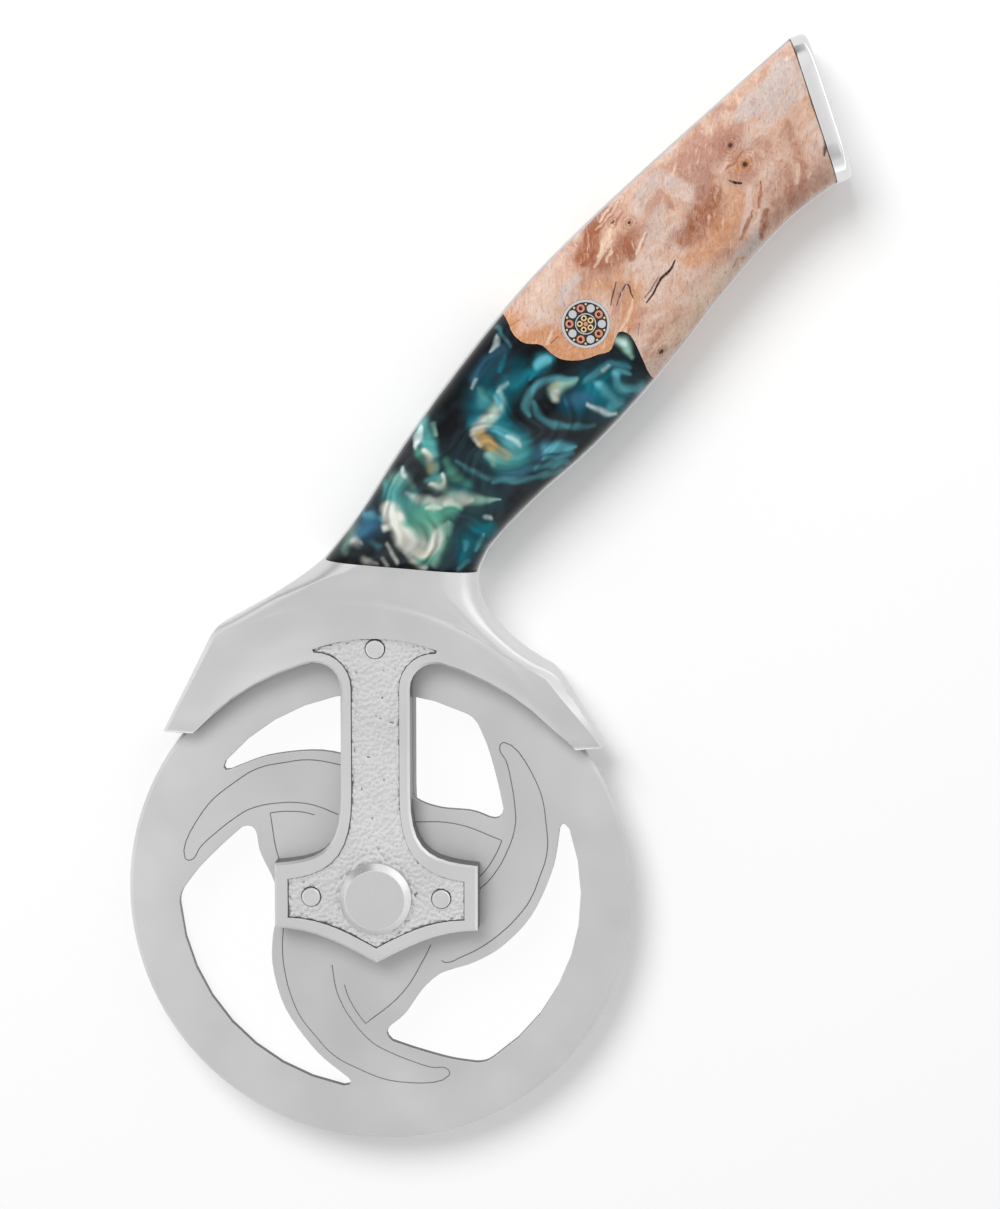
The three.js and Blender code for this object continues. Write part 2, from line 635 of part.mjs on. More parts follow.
function pivotHeadProfile(low) {
  const radius = PIVOT_HEAD_DIAMETER / 2;
  const top = low + PIVOT_HEAD_HEIGHT;
  return [[radius, low], [radius, top - PIVOT_CHAMFER], [radius - PIVOT_CHAMFER, top], [0, top]];
}

const headSeat = panelFace + FIT_GAP;
const sleeveEnd = panelFace - SLEEVE_SHORT;
const boreEnd = panelFace - BORE_SHORT;

function pivotScrew() {
  const radius = SCREW_DIAMETER / 2;
  const shankEnd = SHANK_GAP - boreEnd;
  const shank = [[0, shankEnd], [radius, shankEnd], [radius, headSeat]];
  return turned([...shank, ...pivotHeadProfile(headSeat)], ROUND_SEGMENTS);
}

// Sleeve nut, built facing the front and turned over to the rear
function pivotNut() {
  const bore = SCREW_DIAMETER / 2 + FIT_GAP;
  const profile = [[0, boreEnd], [bore, boreEnd], [bore, -sleeveEnd], [axleRadius, -sleeveEnd],
    [axleRadius, headSeat], ...pivotHeadProfile(headSeat)];
  const top = headSeat + PIVOT_HEAD_HEIGHT;
  const socketRadius = SOCKET_ACROSS_FLATS / Math.sqrt(3);
  const socket = rod(socketRadius, top - SOCKET_DEPTH, top + 1, 6);
  const body = solid(turned(profile, ROUND_SEGMENTS)).subtract(solid(socket));
  return toGeometry(body).rotateY(Math.PI);
}

function wheelBushing() {
  const half = WHEEL_THICKNESS / 2;
  return tube(bushingRadius, axleRadius + RUNNING_CLEARANCE, -half, half, ROUND_SEGMENTS);
}

function thrustWasher() {
  const low = WHEEL_THICKNESS / 2 + FIT_GAP;
  return tube(WASHER_DIAMETER / 2, axleRadius + FIT_GAP, low, slotHalf - FIT_GAP, ROUND_SEGMENTS);
}

function panelStud() {
  const radius = STUD_DIAMETER / 2;
  const low = panelFace - STUD_SEAT + FIT_GAP;
  const top = panelFace + STUD_PROUD;
  return turned([[0, low], [radius, low], [radius, top - STUD_CHAMFER], [radius - STUD_CHAMFER, top],
    [0, top + STUD_DOME]], STUD_SEGMENTS);
}

// Mosaic pin: tubes, rods and wires set in epoxy inside an outer tube

const pinBore = pinRadius - PIN_TUBE_WALL;
const pinInner = PIN_INNER_DIAMETER / 2;
const pinInnerBore = pinInner - PIN_INNER_WALL;
const rodRing = (pinBore + pinInner) / 2;
const halfPitch = Math.sin(Math.PI / (2 * PIN_ROD_COUNT));
const rodRadius = Math.min((pinBore - pinInner) / 2, rodRing * halfPitch) - PIN_WEB / 2 - FIT_GAP;
const wireRadius = PIN_WIRE_DIAMETER / 2;
const wireRing = pinBore - wireRadius - PIN_WIRE_MARGIN;
const coreRadius = PIN_CORE_DIAMETER / 2;
const brassRing = (pinInnerBore + coreRadius) / 2;
const brassRadius = (pinInnerBore - coreRadius) / 2 - PIN_WEB / 2;

function ringPlaces(count, radius, startDegrees) {
  const places = [];
  for (let k = 0; k < count; k += 1) places.push(polar(startDegrees + (360 / count) * k, radius));
  return places;
}

const copperPlaces = ringPlaces(PIN_ROD_COUNT, rodRing, 180 / PIN_ROD_COUNT);
const steelPlaces = ringPlaces(PIN_ROD_COUNT, rodRing, 0);
const wirePlaces = ringPlaces(2 * PIN_ROD_COUNT, wireRing, 90 / PIN_ROD_COUNT);
const brassPlaces = ringPlaces(PIN_ROD_COUNT, brassRing, 180 / PIN_ROD_COUNT);

function drilled(body, places, radius, segments) {
  let result = body;
  for (const place of places) {
    const hole = rod(radius + FIT_GAP, -HANDLE_THICKNESS, HANDLE_THICKNESS, segments);
    result = result.subtract(solid(hole.translate(place.x, place.y, 0)));
  }
  return result;
}

function outerEpoxy() {
  let body = solid(tube(pinBore - FIT_GAP, pinInner + FIT_GAP, -handleHalf, handleHalf, PIN_SEGMENTS));
  body = drilled(body, [...copperPlaces, ...steelPlaces], rodRadius, ROD_SEGMENTS);
  return toGeometry(drilled(body, wirePlaces, wireRadius, WIRE_SEGMENTS));
}

function innerEpoxy() {
  let body = solid(rod(pinInnerBore - FIT_GAP, -handleHalf, handleHalf, PIN_SEGMENTS));
  body = drilled(body, brassPlaces, brassRadius, ROD_SEGMENTS);
  return toGeometry(drilled(body, [new THREE.Vector2()], coreRadius, ROD_SEGMENTS));
}

// Materials

function finish(color, roughness, metalness) {
  return new THREE.MeshStandardMaterial({ color, roughness, metalness });
}

const satinSteel = finish(0xcfcfcf, 0.38, 1);
const bladeSteel = finish(0xc2c2c2, 0.34, 1);
const polishedSteel = finish(0xe2e3e4, 0.08, 1);
const bronze = finish(0xa9773f, 0.4, 1);
const washerPlastic = finish(0xe9e6dc, 0.5, 0);
const burl = finish(0xd2a487, 0.3, 0);
const resin = finish(0x1d5a66, 0.12, 0);
const copper = finish(0xd98a6c, 0.25, 1);
const brass = finish(0xe6cf92, 0.25, 1);
const epoxy = finish(0x0d0d0e, 0.3, 0);

// Assembly, about the axle

const assembly = new THREE.Group();

function addPiece(parent, name, geometry, material) {
  const mesh = new THREE.Mesh(geometry, material);
  mesh.name = name;
  parent.add(mesh);
  return mesh;
}

addPiece(assembly, 'fork_frame', forkFrame(), satinSteel);
addPiece(assembly, 'wheel_blade', wheelBlade(), bladeSteel);
addPiece(assembly, 'wheel_bushing', wheelBushing(), bronze);
addPiece(assembly, 'pivot_screw', pivotScrew(), satinSteel);
addPiece(assembly, 'pivot_nut', pivotNut(), satinSteel);
for (const [side, turn] of [['front', 0], ['rear', Math.PI]]) {
  addPiece(assembly, `thrust_washer_${side}`, thrustWasher(), washerPlastic).rotation.y = turn;
  for (const [where, place] of Object.entries(studPlaces)) {
    const stud = addPiece(assembly, `panel_stud_${side}_${where}`, panelStud(), polishedSteel);
    stud.position.set(place.x, place.y, 0);
    stud.rotation.y = turn;
  }
}

const form = handleForm();
for (const side of ['front', 'rear']) {
  addPiece(assembly, `resin_scale_${side}`, scaleBody(form, false, side === 'front'), resin);
  addPiece(assembly, `burl_scale_${side}`, scaleBody(form, true, side === 'front'), burl);
}
addPiece(assembly, 'butt_cap', buttCap(), polishedSteel);

const pin = new THREE.Group();
pin.position.set(pinCentre.x, pinCentre.y, 0);
assembly.add(pin);

function addRing(name, places, makeGeometry, material) {
  places.forEach((place, k) => {
    addPiece(pin, `${name}_${k + 1}`, makeGeometry(), material).position.set(place.x, place.y, 0);
  });
}

const pinTube = (outer, inner, segments) => tube(outer, inner, -handleHalf, handleHalf, segments);
const pinRod = (radius, segments) => rod(radius, -handleHalf, handleHalf, segments);
const smallTube = (radius) => pinTube(radius, radius * PIN_BORE_SHARE, ROD_SEGMENTS);

addPiece(pin, 'pin_outer_tube', pinTube(pinRadius, pinBore, PIN_SEGMENTS), satinSteel);
addPiece(pin, 'pin_inner_tube', pinTube(pinInner, pinInnerBore, PIN_SEGMENTS), satinSteel);
addPiece(pin, 'pin_outer_epoxy', outerEpoxy(), epoxy);
addPiece(pin, 'pin_inner_epoxy', innerEpoxy(), epoxy);
addPiece(pin, 'pin_core_rod', pinRod(coreRadius, ROD_SEGMENTS), copper);
addRing('pin_copper_tube', copperPlaces, () => smallTube(rodRadius), copper);
addRing('pin_steel_rod', steelPlaces, () => pinRod(rodRadius, ROD_SEGMENTS), satinSteel);
addRing('pin_brass_tube', brassPlaces, () => smallTube(brassRadius), brass);
addRing('pin_brass_wire', wirePlaces, () => pinRod(wireRadius, WIRE_SEGMENTS), brass);

// The part lies on the rear of its handle, with the origin under the middle of its outline
const part = new THREE.Group();
part.add(assembly);
const box = new THREE.Box3().setFromObject(assembly);
assembly.position.set(-(box.min.x + box.max.x) / 2, -(box.min.y + box.max.y) / 2, -box.min.z);

export default part;
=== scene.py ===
import math

import bmesh
import bpy
from bpy.props import FloatProperty, FloatVectorProperty, PointerProperty
from mathutils import Matrix, Vector


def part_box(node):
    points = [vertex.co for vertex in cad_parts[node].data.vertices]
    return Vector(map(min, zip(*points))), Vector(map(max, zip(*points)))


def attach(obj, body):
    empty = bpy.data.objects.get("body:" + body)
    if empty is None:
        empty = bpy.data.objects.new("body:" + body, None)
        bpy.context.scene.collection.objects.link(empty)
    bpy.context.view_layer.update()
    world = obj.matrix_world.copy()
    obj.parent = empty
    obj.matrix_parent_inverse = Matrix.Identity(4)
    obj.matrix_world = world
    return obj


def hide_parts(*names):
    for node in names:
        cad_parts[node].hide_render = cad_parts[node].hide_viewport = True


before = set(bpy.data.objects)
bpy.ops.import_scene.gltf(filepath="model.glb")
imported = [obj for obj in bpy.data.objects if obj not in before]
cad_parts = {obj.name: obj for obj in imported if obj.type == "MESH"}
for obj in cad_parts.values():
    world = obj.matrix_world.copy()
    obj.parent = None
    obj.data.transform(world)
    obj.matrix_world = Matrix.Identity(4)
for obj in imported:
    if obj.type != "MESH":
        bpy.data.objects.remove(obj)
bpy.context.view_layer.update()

bl_info = {
    "name": "Pizza wheel",
    "version": (1, 0, 0),
    "blender": (4, 5, 0),
    "location": "View3D > Sidebar > Pizza wheel",
    "description": "Finishes the pizza wheel's steel, handle and pin, and sets its stage",
    "category": "Object",
}

MM = 0.001
WELD_DISTANCE = 0.001 * MM
# How far two heights may differ and still be one level
LEVEL_TOLERANCE = 5.0 * WELD_DISTANCE
FLAT_ANGLE = math.radians(0.05)
SHARP_ANGLE = math.radians(28.0)

# The wheel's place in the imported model
BLADE_LOW, BLADE_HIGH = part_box("wheel_blade")
AXLE = (BLADE_LOW + BLADE_HIGH) / 2.0
# Heights of the floors of the front and the rear panel
PANEL_FLOORS = (14.8 * MM, 3.6 * MM)

# The handle's own frame: along runs from the bolster to the butt, across towards the back
HANDLE_ANGLE = math.radians(48.0)
HANDLE_START = (AXLE.x + 5.2 * MM, AXLE.y + 66.0 * MM, 0.0)

# Engraved lines of one horn, as radius in millimetres and angle in degrees about the axle
HORN_LINE = (
    (17.8, 117.3), (21.9, 126.4), (24.1, 131.4), (26.5, 137.0), (30.9, 147.3), (32.8, 153.5),
    (35.1, 160.6), (37.2, 166.3), (38.7, 171.0), (39.9, 170.6), (39.1, 156.0), (36.3, 141.6),
    (34.8, 134.0), (32.4, 126.0), (30.4, 118.0), (28.0, 110.0), (25.7, 102.0), (23.3, 92.5),
    (21.1, 82.7), (19.4, 73.6), (18.6, 72.6),
)
CORNER_LINE = (
    (20.3, 9.5), (22.1, 13.0), (23.9, 16.9), (26.0, 21.5), (27.1, 24.0), (21.1, 42.5),
    (16.0, 65.0), (14.8, 75.0),
)
# The point of the corner line that stays sharp
CORNER_PLACE = 4
HORN_TURNS = (0.0, 120.0, 240.0)


def linear(red, green, blue):
    """Give a display colour, 0 to 255 a channel, as the linear colour that a shader reads."""
    def channel(value):
        value = value / 255.0
        if value <= 0.04045:
            return value / 12.92
        return ((value + 0.055) / 1.055) ** 2.4
    return (channel(red), channel(green), channel(blue))


def colour_property(name, description, red, green, blue):
    """A colour that the user may change, written as a display colour."""
    return FloatVectorProperty(
        name=name, description=description, subtype='COLOR', size=3, min=0.0, max=1.0,
        default=linear(red, green, blue),
    )


def length_property(name, description, millimetres):
    """A length that the user may change."""
    return FloatProperty(
        name=name, description=description, unit='LENGTH', min=0.0, default=millimetres * MM,
    )


class SteelSettings(bpy.types.PropertyGroup):
    """Sizes and colours of the wheel, the fork and their fittings."""
    steel: colour_property("Satin steel", "Colour of the fork frame", 214, 214, 214)
    blade: colour_property("Blade steel", "Colour of the cutting wheel", 205, 205, 205)
    polished: colour_property("Polished steel", "Colour of the butt cap and the studs", 226, 226, 227)
    # Painted shade on the walls of the horn cut-outs, over the darker oxide of the cut: a darker copy of the
    # blade steel
    cut_wall_shade: colour_property("Cut wall", "Colour of the walls of the horn cut-outs", 104, 104, 105)
    # Painted shade in the engraved grooves: a darker copy of the blade steel
    engraved: colour_property("Engraved lines", "Colour of the engraved lines", 170, 170, 170)
    # Painted shade in the gaps round the panels and on their walls: a darker copy of the satin steel
    recess_shade: colour_property("Recess", "Colour of the gap round the panels", 140, 140, 140)
    # Painted shade on the side walls of the arms: a darker copy of the satin steel
    arm_wall_shade: colour_property("Arm walls", "Colour of the side walls of the arms", 126, 126, 127)
    # Painted highlight on the arms' rounded outer edges: a lighter, polished copy of the steel
    rim: colour_property("Bright rim", "Colour of the bright edges of the arms", 238, 238, 238)
    bronze: colour_property("Bronze", "Colour of the wheel's bushing", 190, 140, 84)
    washer: colour_property("Washer plastic", "Colour of the thrust washers", 52, 52, 54)
    roughness: FloatProperty(name="Satin", description="Roughness of the satin steel", min=0.0, max=1.0,
                             subtype='FACTOR', default=0.4)
    groove: length_property("Groove", "Half width and depth of the engraved lines", 0.11)
    soft_edge: length_property("Soft edge", "Rounding of the cut edges", 0.2)
    rim_width: length_property("Rim width", "Width of the bright edges of the arms", 0.3)
    pebble: length_property("Pebble", "Spacing of the pebbles on the panel", 0.8)
    pebble_height: length_property("Pebble height", "Height of the pebbles on the panel", 0.4)
    pebble_mesh: length_property("Pebble mesh", "Spacing of the mesh that carries the pebbles", 0.14)


class HandleSettings(bpy.types.PropertyGroup):
    """Colours of the burl wood and of the cast resin."""
    pale: colour_property("Pale burl", "Pale wood", 218, 193, 180)
    ash: colour_property("Ash grey burl", "Greyest wood", 204, 190, 184)
    bisque: colour_property("Bisque burl", "Bright streaks in the wood", 240, 212, 188)
    mauve: colour_property("Mauve burl", "Wood by the cap", 186, 154, 150)
    tan: colour_property("Tan burl", "Middle wood", 212, 174, 152)
    rose: colour_property("Rose burl", "Rosy brown wood", 186, 140, 123)
    brown: colour_property("Brown burl", "Brown wood", 157, 95, 67)
    amber: colour_property("Amber burl", "Orange wood round the pin", 206, 146, 104)
    crack: colour_property("Crack", "Cracks and eyes in the wood", 40, 31, 27)
    ink: colour_property("Ink resin", "Blackest resin", 12, 14, 16)
    slate: colour_property("Slate resin", "Ground of the resin", 34, 46, 52)
    char: colour_property("Charcoal resin", "Smoky grey resin", 46, 50, 54)
    murk: colour_property("Murky resin", "Murky green resin", 40, 62, 68)
    deep: colour_property("Deep resin", "Deep teal", 10, 68, 82)
    teal: colour_property("Teal resin", "Bright teal", 18, 107, 121)
    blue: colour_property("Blue resin", "Blue swirls", 52, 98, 124)
    cyan: colour_property("Cyan resin", "Pale cyan", 92, 166, 178)
    jade: colour_property("Jade resin", "Blue green swirls", 78, 148, 146)
    sea: colour_property("Sea green resin", "Green swirls", 84, 152, 131)
    mint: colour_property("Mint resin", "Pale green swirls", 138, 178, 162)
    cream: colour_property("Cream resin", "Cream swirls", 212, 214, 204)
    sand: colour_property("Sand resin", "Sandy flecks", 178, 150, 98)
    white: colour_property("White resin", "White wisps", 206, 226, 226)


class PinSettings(bpy.types.PropertyGroup):
    """Colours of the mosaic pin."""
    copper: colour_property("Copper", "Copper tubes and the core", 226, 146, 120)
    brass: colour_property("Brass", "Brass tubes and wires", 238, 208, 150)
    rod: colour_property("Rod steel", "Steel rods and tubes", 206, 207, 210)
    epoxy: colour_property("Epoxy", "Filling between the rods", 26, 25, 25)


class StageSettings(bpy.types.PropertyGroup):
    """Light and floor."""
    key_power: FloatProperty(name="Key", description="Power of the softbox", unit='POWER', default=13.4)
    fill: FloatProperty(name="Fill", description="Strength of the light from all round", default=0.5)
    floor: colour_property("Floor", "Colour of the floor", 255, 255, 255)


class PizzaWheelSettings(bpy.types.PropertyGroup):
    """All settings of the pizza wheel."""
    steel: PointerProperty(type=SteelSettings)
    handle: PointerProperty(type=HandleSettings)
    pin: PointerProperty(type=PinSettings)
    stage: PointerProperty(type=StageSettings)


# Mesh tools


def take_up(piece):
    """Leave one piece selected and active, in object mode."""
    if bpy.context.object and bpy.context.object.mode != 'OBJECT':
        bpy.ops.object.mode_set(mode='OBJECT')
    bpy.ops.object.select_all(action='DESELECT')
    piece.select_set(True)
    bpy.context.view_layer.objects.active = piece


def merged_copy(node, name):
    """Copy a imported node's mesh into a new piece, with its loose triangles joined up."""
    piece = bpy.data.objects.new(name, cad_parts[node].data.copy())
    piece.data.name = name
    bpy.context.scene.collection.objects.link(piece)
    piece.data.materials.clear()
    take_up(piece)
    bpy.ops.mesh.customdata_custom_splitnormals_clear()
    bpy.ops.object.mode_set(mode='EDIT')
    bpy.ops.mesh.select_all(action='SELECT')
    bpy.ops.mesh.remove_doubles(threshold=WELD_DISTANCE)
    bpy.ops.mesh.dissolve_limited(angle_limit=FLAT_ANGLE)
    bpy.ops.object.mode_set(mode='OBJECT')
    return piece


def select_edges(piece, wanted):
    """Go into edit mode with only the edges that a test accepts selected."""
    take_up(piece)
    bpy.ops.object.mode_set(mode='EDIT')
    bpy.ops.mesh.select_mode(type='EDGE')
    bpy.ops.mesh.select_all(action='DESELECT')
    shape = bmesh.from_edit_mesh(piece.data)
    for edge in shape.edges:
        if len(edge.link_faces) == 2 and wanted(edge):
            edge.select_set(True)
    bmesh.update_edit_mesh(piece.data)


def soften_edges(piece, width, wanted, segments=2, material=-1):
    """Round off the edges that a test accepts, with a material of the piece on the new faces."""
    select_edges(piece, wanted)
    bpy.ops.mesh.bevel(
        offset_type='OFFSET', offset=width, segments=segments, affect='EDGES', clamp_overlap=False,
        material=material,
    )
    bpy.ops.object.mode_set(mode='OBJECT')


def is_sharp(edge, degrees=35.0):
    """Tell whether an edge turns by more than an angle."""
    return edge.calc_face_angle(0.0) > math.radians(degrees)


def is_level(edge, *levels):
    """Tell whether both ends of an edge lie at one of some heights."""
    heights = [vert.co.z for vert in edge.verts]
    return any(all(abs(height - level) < LEVEL_TOLERANCE for height in heights) for level in levels)


def middle_of(edge):
    """Give the middle of an edge."""
    return (edge.verts[0].co + edge.verts[1].co) / 2.0


def axle_distance(point):
    """Give how far a point lies from the line of the axle."""
    return (point - AXLE).to_2d().length


def apply_modifier(piece, kind, **settings):
    """Add a modifier with its settings and apply it."""
    take_up(piece)
    modifier = piece.modifiers.new(kind.lower(), kind)
    for key, value in settings.items():
        setattr(modifier, key, value)
    bpy.ops.object.modifier_apply(modifier=modifier.name)


def shade(piece, angle=SHARP_ANGLE, weighted=True):
    """Shade a piece smooth except across its sharp edges, with its broad faces kept flat."""
    take_up(piece)
    bpy.ops.object.shade_smooth_by_angle(angle=angle)
    if weighted:
        apply_modifier(piece, 'WEIGHTED_NORMAL', mode='FACE_AREA', weight=100, keep_sharp=True)


def settle(piece, body, nodes=()):
    """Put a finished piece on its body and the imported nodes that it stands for."""
    if not piece.data.polygons:
        raise RuntimeError(piece.name + " has no faces")
    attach(piece, body)
    if nodes:
        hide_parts(*nodes)


def set_finish(piece, *materials):
    """Give a piece its materials in order."""
    piece.data.materials.clear()
    for material in materials:
        piece.data.materials.append(material)


def coat_node(node, material):
    """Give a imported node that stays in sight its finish."""
    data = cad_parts[node].data
    data.materials.clear()
    data.materials.append(material)


# Node tools


def new_finish(name):
    """Start a node material and give its tree and its shader."""
    material = bpy.data.materials.new(name)
    material.use_nodes = True
    tree = material.node_tree
    return material, tree, tree.nodes["Principled BSDF"]


def set_input(tree, socket, value):
    """Link a socket to another, or set its own value."""
    if isinstance(value, bpy.types.NodeSocket):
        tree.links.new(value, socket)
        return
    if socket.type == 'RGBA' and len(value) == 3:
        value = (*value, 1.0)
    socket.default_value = value


def add_node(tree, kind, inputs=None, **settings):
    """Add a node with its settings and its inputs."""
    made = tree.nodes.new(kind)
    for key, value in settings.items():
        setattr(made, key, value)
    for key, value in (inputs or {}).items():
        set_input(tree, made.inputs[key], value)
    return made


def compute(tree, operation, *values):
    """Add a math node and give its result."""
    return add_node(tree, "ShaderNodeMath", dict(enumerate(values)), operation=operation).outputs[0]


def hold_between(tree, value, low, high):
    """Hold a value between two limits, with a node of its own so that a long tree stays in order."""
    return add_node(tree, "ShaderNodeClamp", {0: value, 1: min(low, high), 2: max(low, high)}).outputs[0]


def vector_compute(tree, operation, *values):
    """Add a vector math node."""
    return add_node(tree, "ShaderNodeVectorMath", dict(enumerate(values)), operation=operation)


def stretched(tree, place, factors):
    """Multiply a place by a factor on each axis, so that a pattern read there is drawn out."""
    return vector_compute(tree, 'MULTIPLY', place, factors).outputs[0]


def scaled(tree, vector, factor):
    """Multiply a vector or a colour by one number."""
    return add_node(tree, "ShaderNodeVectorMath", {0: vector, "Scale": factor}, operation='SCALE').outputs[0]


def remap(tree, value, low, high, to_low, to_high, smooth=False):
    """Carry a value from one range to another."""
    kind = 'SMOOTHSTEP' if smooth else 'LINEAR'
    inputs = {"Value": value, 1: low, 2: high, 3: to_low, 4: to_high}
    result = add_node(tree, "ShaderNodeMapRange", inputs, interpolation_type=kind, clamp=False).outputs[0]
    return result if smooth else hold_between(tree, result, to_low, to_high)


def mix_colours(tree, share, first, second):
    """Lay a second colour over a first one."""
    mixer = add_node(tree, "ShaderNodeMix", data_type='RGBA')
    set_input(tree, mixer.inputs[0], share)
    set_input(tree, mixer.inputs[6], first)
    set_input(tree, mixer.inputs[7], second)
    return mixer.outputs[2]


def noise(tree, vector, scale, detail=2.0, roughness=0.5, distortion=0.0):
    """Add a noise texture."""
    inputs = {
        "Vector": vector, "Scale": scale, "Detail": detail, "Roughness": roughness, "Distortion": distortion,
    }
    return add_node(tree, "ShaderNodeTexNoise", inputs)


def millimetres(tree, start=AXLE, turn=0.0):
    """Give the place on the piece in millimetres from a start, in a frame turned about Z."""
    place = tree.nodes.new("ShaderNodeTexCoord").outputs["Object"]
    inputs = {"Vector": place, "Location": start, "Rotation": (0.0, 0.0, turn), "Scale": (MM, MM, MM)}
    return add_node(tree, "ShaderNodeMapping", inputs, vector_type='TEXTURE').outputs[0]


def handle_place(tree):
    """Give the place on the handle in its own frame, in millimetres along, across and up."""
    return millimetres(tree, HANDLE_START, HANDLE_ANGLE)


def roughen(tree, shader, height, distance, strength):
    """Raise a fine relief on a shader's surface."""
    inputs = {"Height": height, "Distance": distance, "Strength": strength}
    bump = add_node(tree, "ShaderNodeBump", inputs)
    tree.links.new(bump.outputs[0], shader.inputs["Normal"])


# Finishes

# Share of metal in the finish of sanded steel, which scatters light as well as mirroring it
STEEL_METAL = 0.82
BLADE_METAL = 0.35
ROD_METAL = 0.4
# Brightness of the darker parts of a finish against its colour
# The first is painted shade: the wheel is darker towards its hub, under the arms and the guard
HUB_SHADE_TONE = 0.93
WIPED_TONE = 0.94
SCRATCHED_TONE = 0.86
SPECKLED_TONE = 0.75
# Distances from the axle, in millimetres, between which the painted shade towards the hub fades and the
# wheel grows lighter
HUB_SHADE_FADE = (30.0, 47.0)
GRAIN_RINGS = 3.0
ROD_ROUGHNESS = (0.26, 0.4)
RESIN_ROUGHNESS = (0.22, 0.3)
BURL_ROUGHNESS = (0.3, 0.42)
RESIN_SPECULAR = 0.1
BURL_SPECULAR = 0.15
# How much a satin grain is drawn out along each axis: brushed, or the same all ways
BRUSHED_GRAIN = (0.25, 3.0, 3.0)
EVEN_GRAIN = (1.0, 1.0, 1.0)
# The span that a noise texture mostly stays in
NOISE_SPAN = (0.3, 0.7)


def darker(colour, tone):
    """Give a colour at a share of its brightness."""
    return tuple(channel * tone for channel in colour)


def satin_finish(name, colour, roughness, grain=BRUSHED_GRAIN, spread=0.07, tone=0.05):
    """Satin steel with a fine grain that varies its gloss and its tone."""
    material, tree, shader = new_finish(name)
    place = millimetres(tree)
    streaks = noise(tree, stretched(tree, place, grain), scale=2.2, detail=4.0, roughness=0.6).outputs[0]
    clouds = noise(tree, place, scale=0.06).outputs[0]
    dark = darker(colour, 1.0 - tone)
    light = tuple(min(channel * (1.0 + tone), 1.0) for channel in colour)
    share = remap(tree, clouds, *NOISE_SPAN, 0.0, 1.0)
    set_input(tree, shader.inputs["Base Color"], mix_colours(tree, share, dark, light))
    gloss = remap(tree, streaks, 0.25, 0.75, roughness - spread, roughness + spread)
    set_input(tree, shader.inputs["Roughness"], gloss)
    shader.inputs["Metallic"].default_value = STEEL_METAL
    roughen(tree, shader, streaks, distance=0.004 * MM, strength=0.35)
    return material


def blade_finish(settings):
    """The wheel's steel: painted shade that darkens it towards the hub, under the arms and the guard, and a
    fine circular grain.
    """
    material, tree, shader = new_finish("blade_steel")
    place = millimetres(tree)
    flat = stretched(tree, place, (1.0, 1.0, 0.0))
    radius = vector_compute(tree, 'LENGTH', flat).outputs["Value"]
    turn = add_node(tree, "ShaderNodeSeparateXYZ", {0: flat})
    angle = compute(tree, 'ARCTAN2', turn.outputs[1], turn.outputs[0])
    outward = compute(tree, 'MULTIPLY', radius, GRAIN_RINGS)
    around = compute(tree, 'SINE', angle)
    rings = add_node(tree, "ShaderNodeCombineXYZ", {0: outward, 1: around, 2: 0.0}).outputs[0]
    grain = noise(tree, rings, scale=1.6, detail=4.0, roughness=0.6).outputs[0]
    # Painted shade: darker towards the hub, under the arms and the guard
    share = remap(tree, radius, *HUB_SHADE_FADE, 0.0, 1.0, smooth=True)
    colour = mix_colours(tree, share, darker(settings.blade, HUB_SHADE_TONE), settings.blade)
    clouds = noise(tree, place, scale=0.05).outputs[0]
    colour = scaled(tree, colour, remap(tree, clouds, 0.34, 0.66, 0.93, 1.05))
    set_input(tree, shader.inputs["Base Color"], colour)
    low = settings.roughness - 0.05
    set_input(tree, shader.inputs["Roughness"], remap(tree, grain, *NOISE_SPAN, low, low + 0.1))
    shader.inputs["Metallic"].default_value = BLADE_METAL
    roughen(tree, shader, grain, distance=0.003 * MM, strength=0.3)
    return material


def polished_finish(name, colour, roughness):
    """Polished steel with faint wipe marks."""
    material, tree, shader = new_finish(name)
    place = millimetres(tree)
    marks = noise(tree, place, scale=0.5, detail=3.0, roughness=0.6, distortion=0.8).outputs[0]
    gloss = remap(tree, marks, *NOISE_SPAN, roughness * 0.7, roughness * 1.3)
    set_input(tree, shader.inputs["Roughness"], gloss)
    wiped = mix_colours(tree, marks, darker(colour, WIPED_TONE), colour)
    set_input(tree, shader.inputs["Base Color"], wiped)
    shader.inputs["Metallic"].default_value = 1.0
    return material


def metal_rod_finish(name, colour):
    """Sawn and sanded rod ends of the mosaic pin."""
    material, tree, shader = new_finish(name)
    place = millimetres(tree)
    scratches = noise(tree, stretched(tree, place, (6.0, 0.8, 1.0)), scale=2.0, detail=3.0).outputs[0]
    sanded = mix_colours(tree, scratches, darker(colour, SCRATCHED_TONE), colour)
    set_input(tree, shader.inputs["Base Color"], sanded)
    set_input(tree, shader.inputs["Roughness"], remap(tree, scratches, *NOISE_SPAN, *ROD_ROUGHNESS))
    shader.inputs["Metallic"].default_value = ROD_METAL
    return material


def dull_finish(name, colour, roughness, metallic=0.0):
    """Plastic, epoxy or sawn steel with a fine speckle."""
    material, tree, shader = new_finish(name)
    place = millimetres(tree)
    speckle = noise(tree, place, scale=3.0, detail=3.0, roughness=0.6).outputs[0]
    speckled = mix_colours(tree, speckle, darker(colour, SPECKLED_TONE), colour)
    set_input(tree, shader.inputs["Base Color"], speckled)
    gloss = remap(tree, speckle, *NOISE_SPAN, roughness - 0.06, roughness + 0.06)
    set_input(tree, shader.inputs["Roughness"], gloss)
    shader.inputs["Metallic"].default_value = metallic
    return material


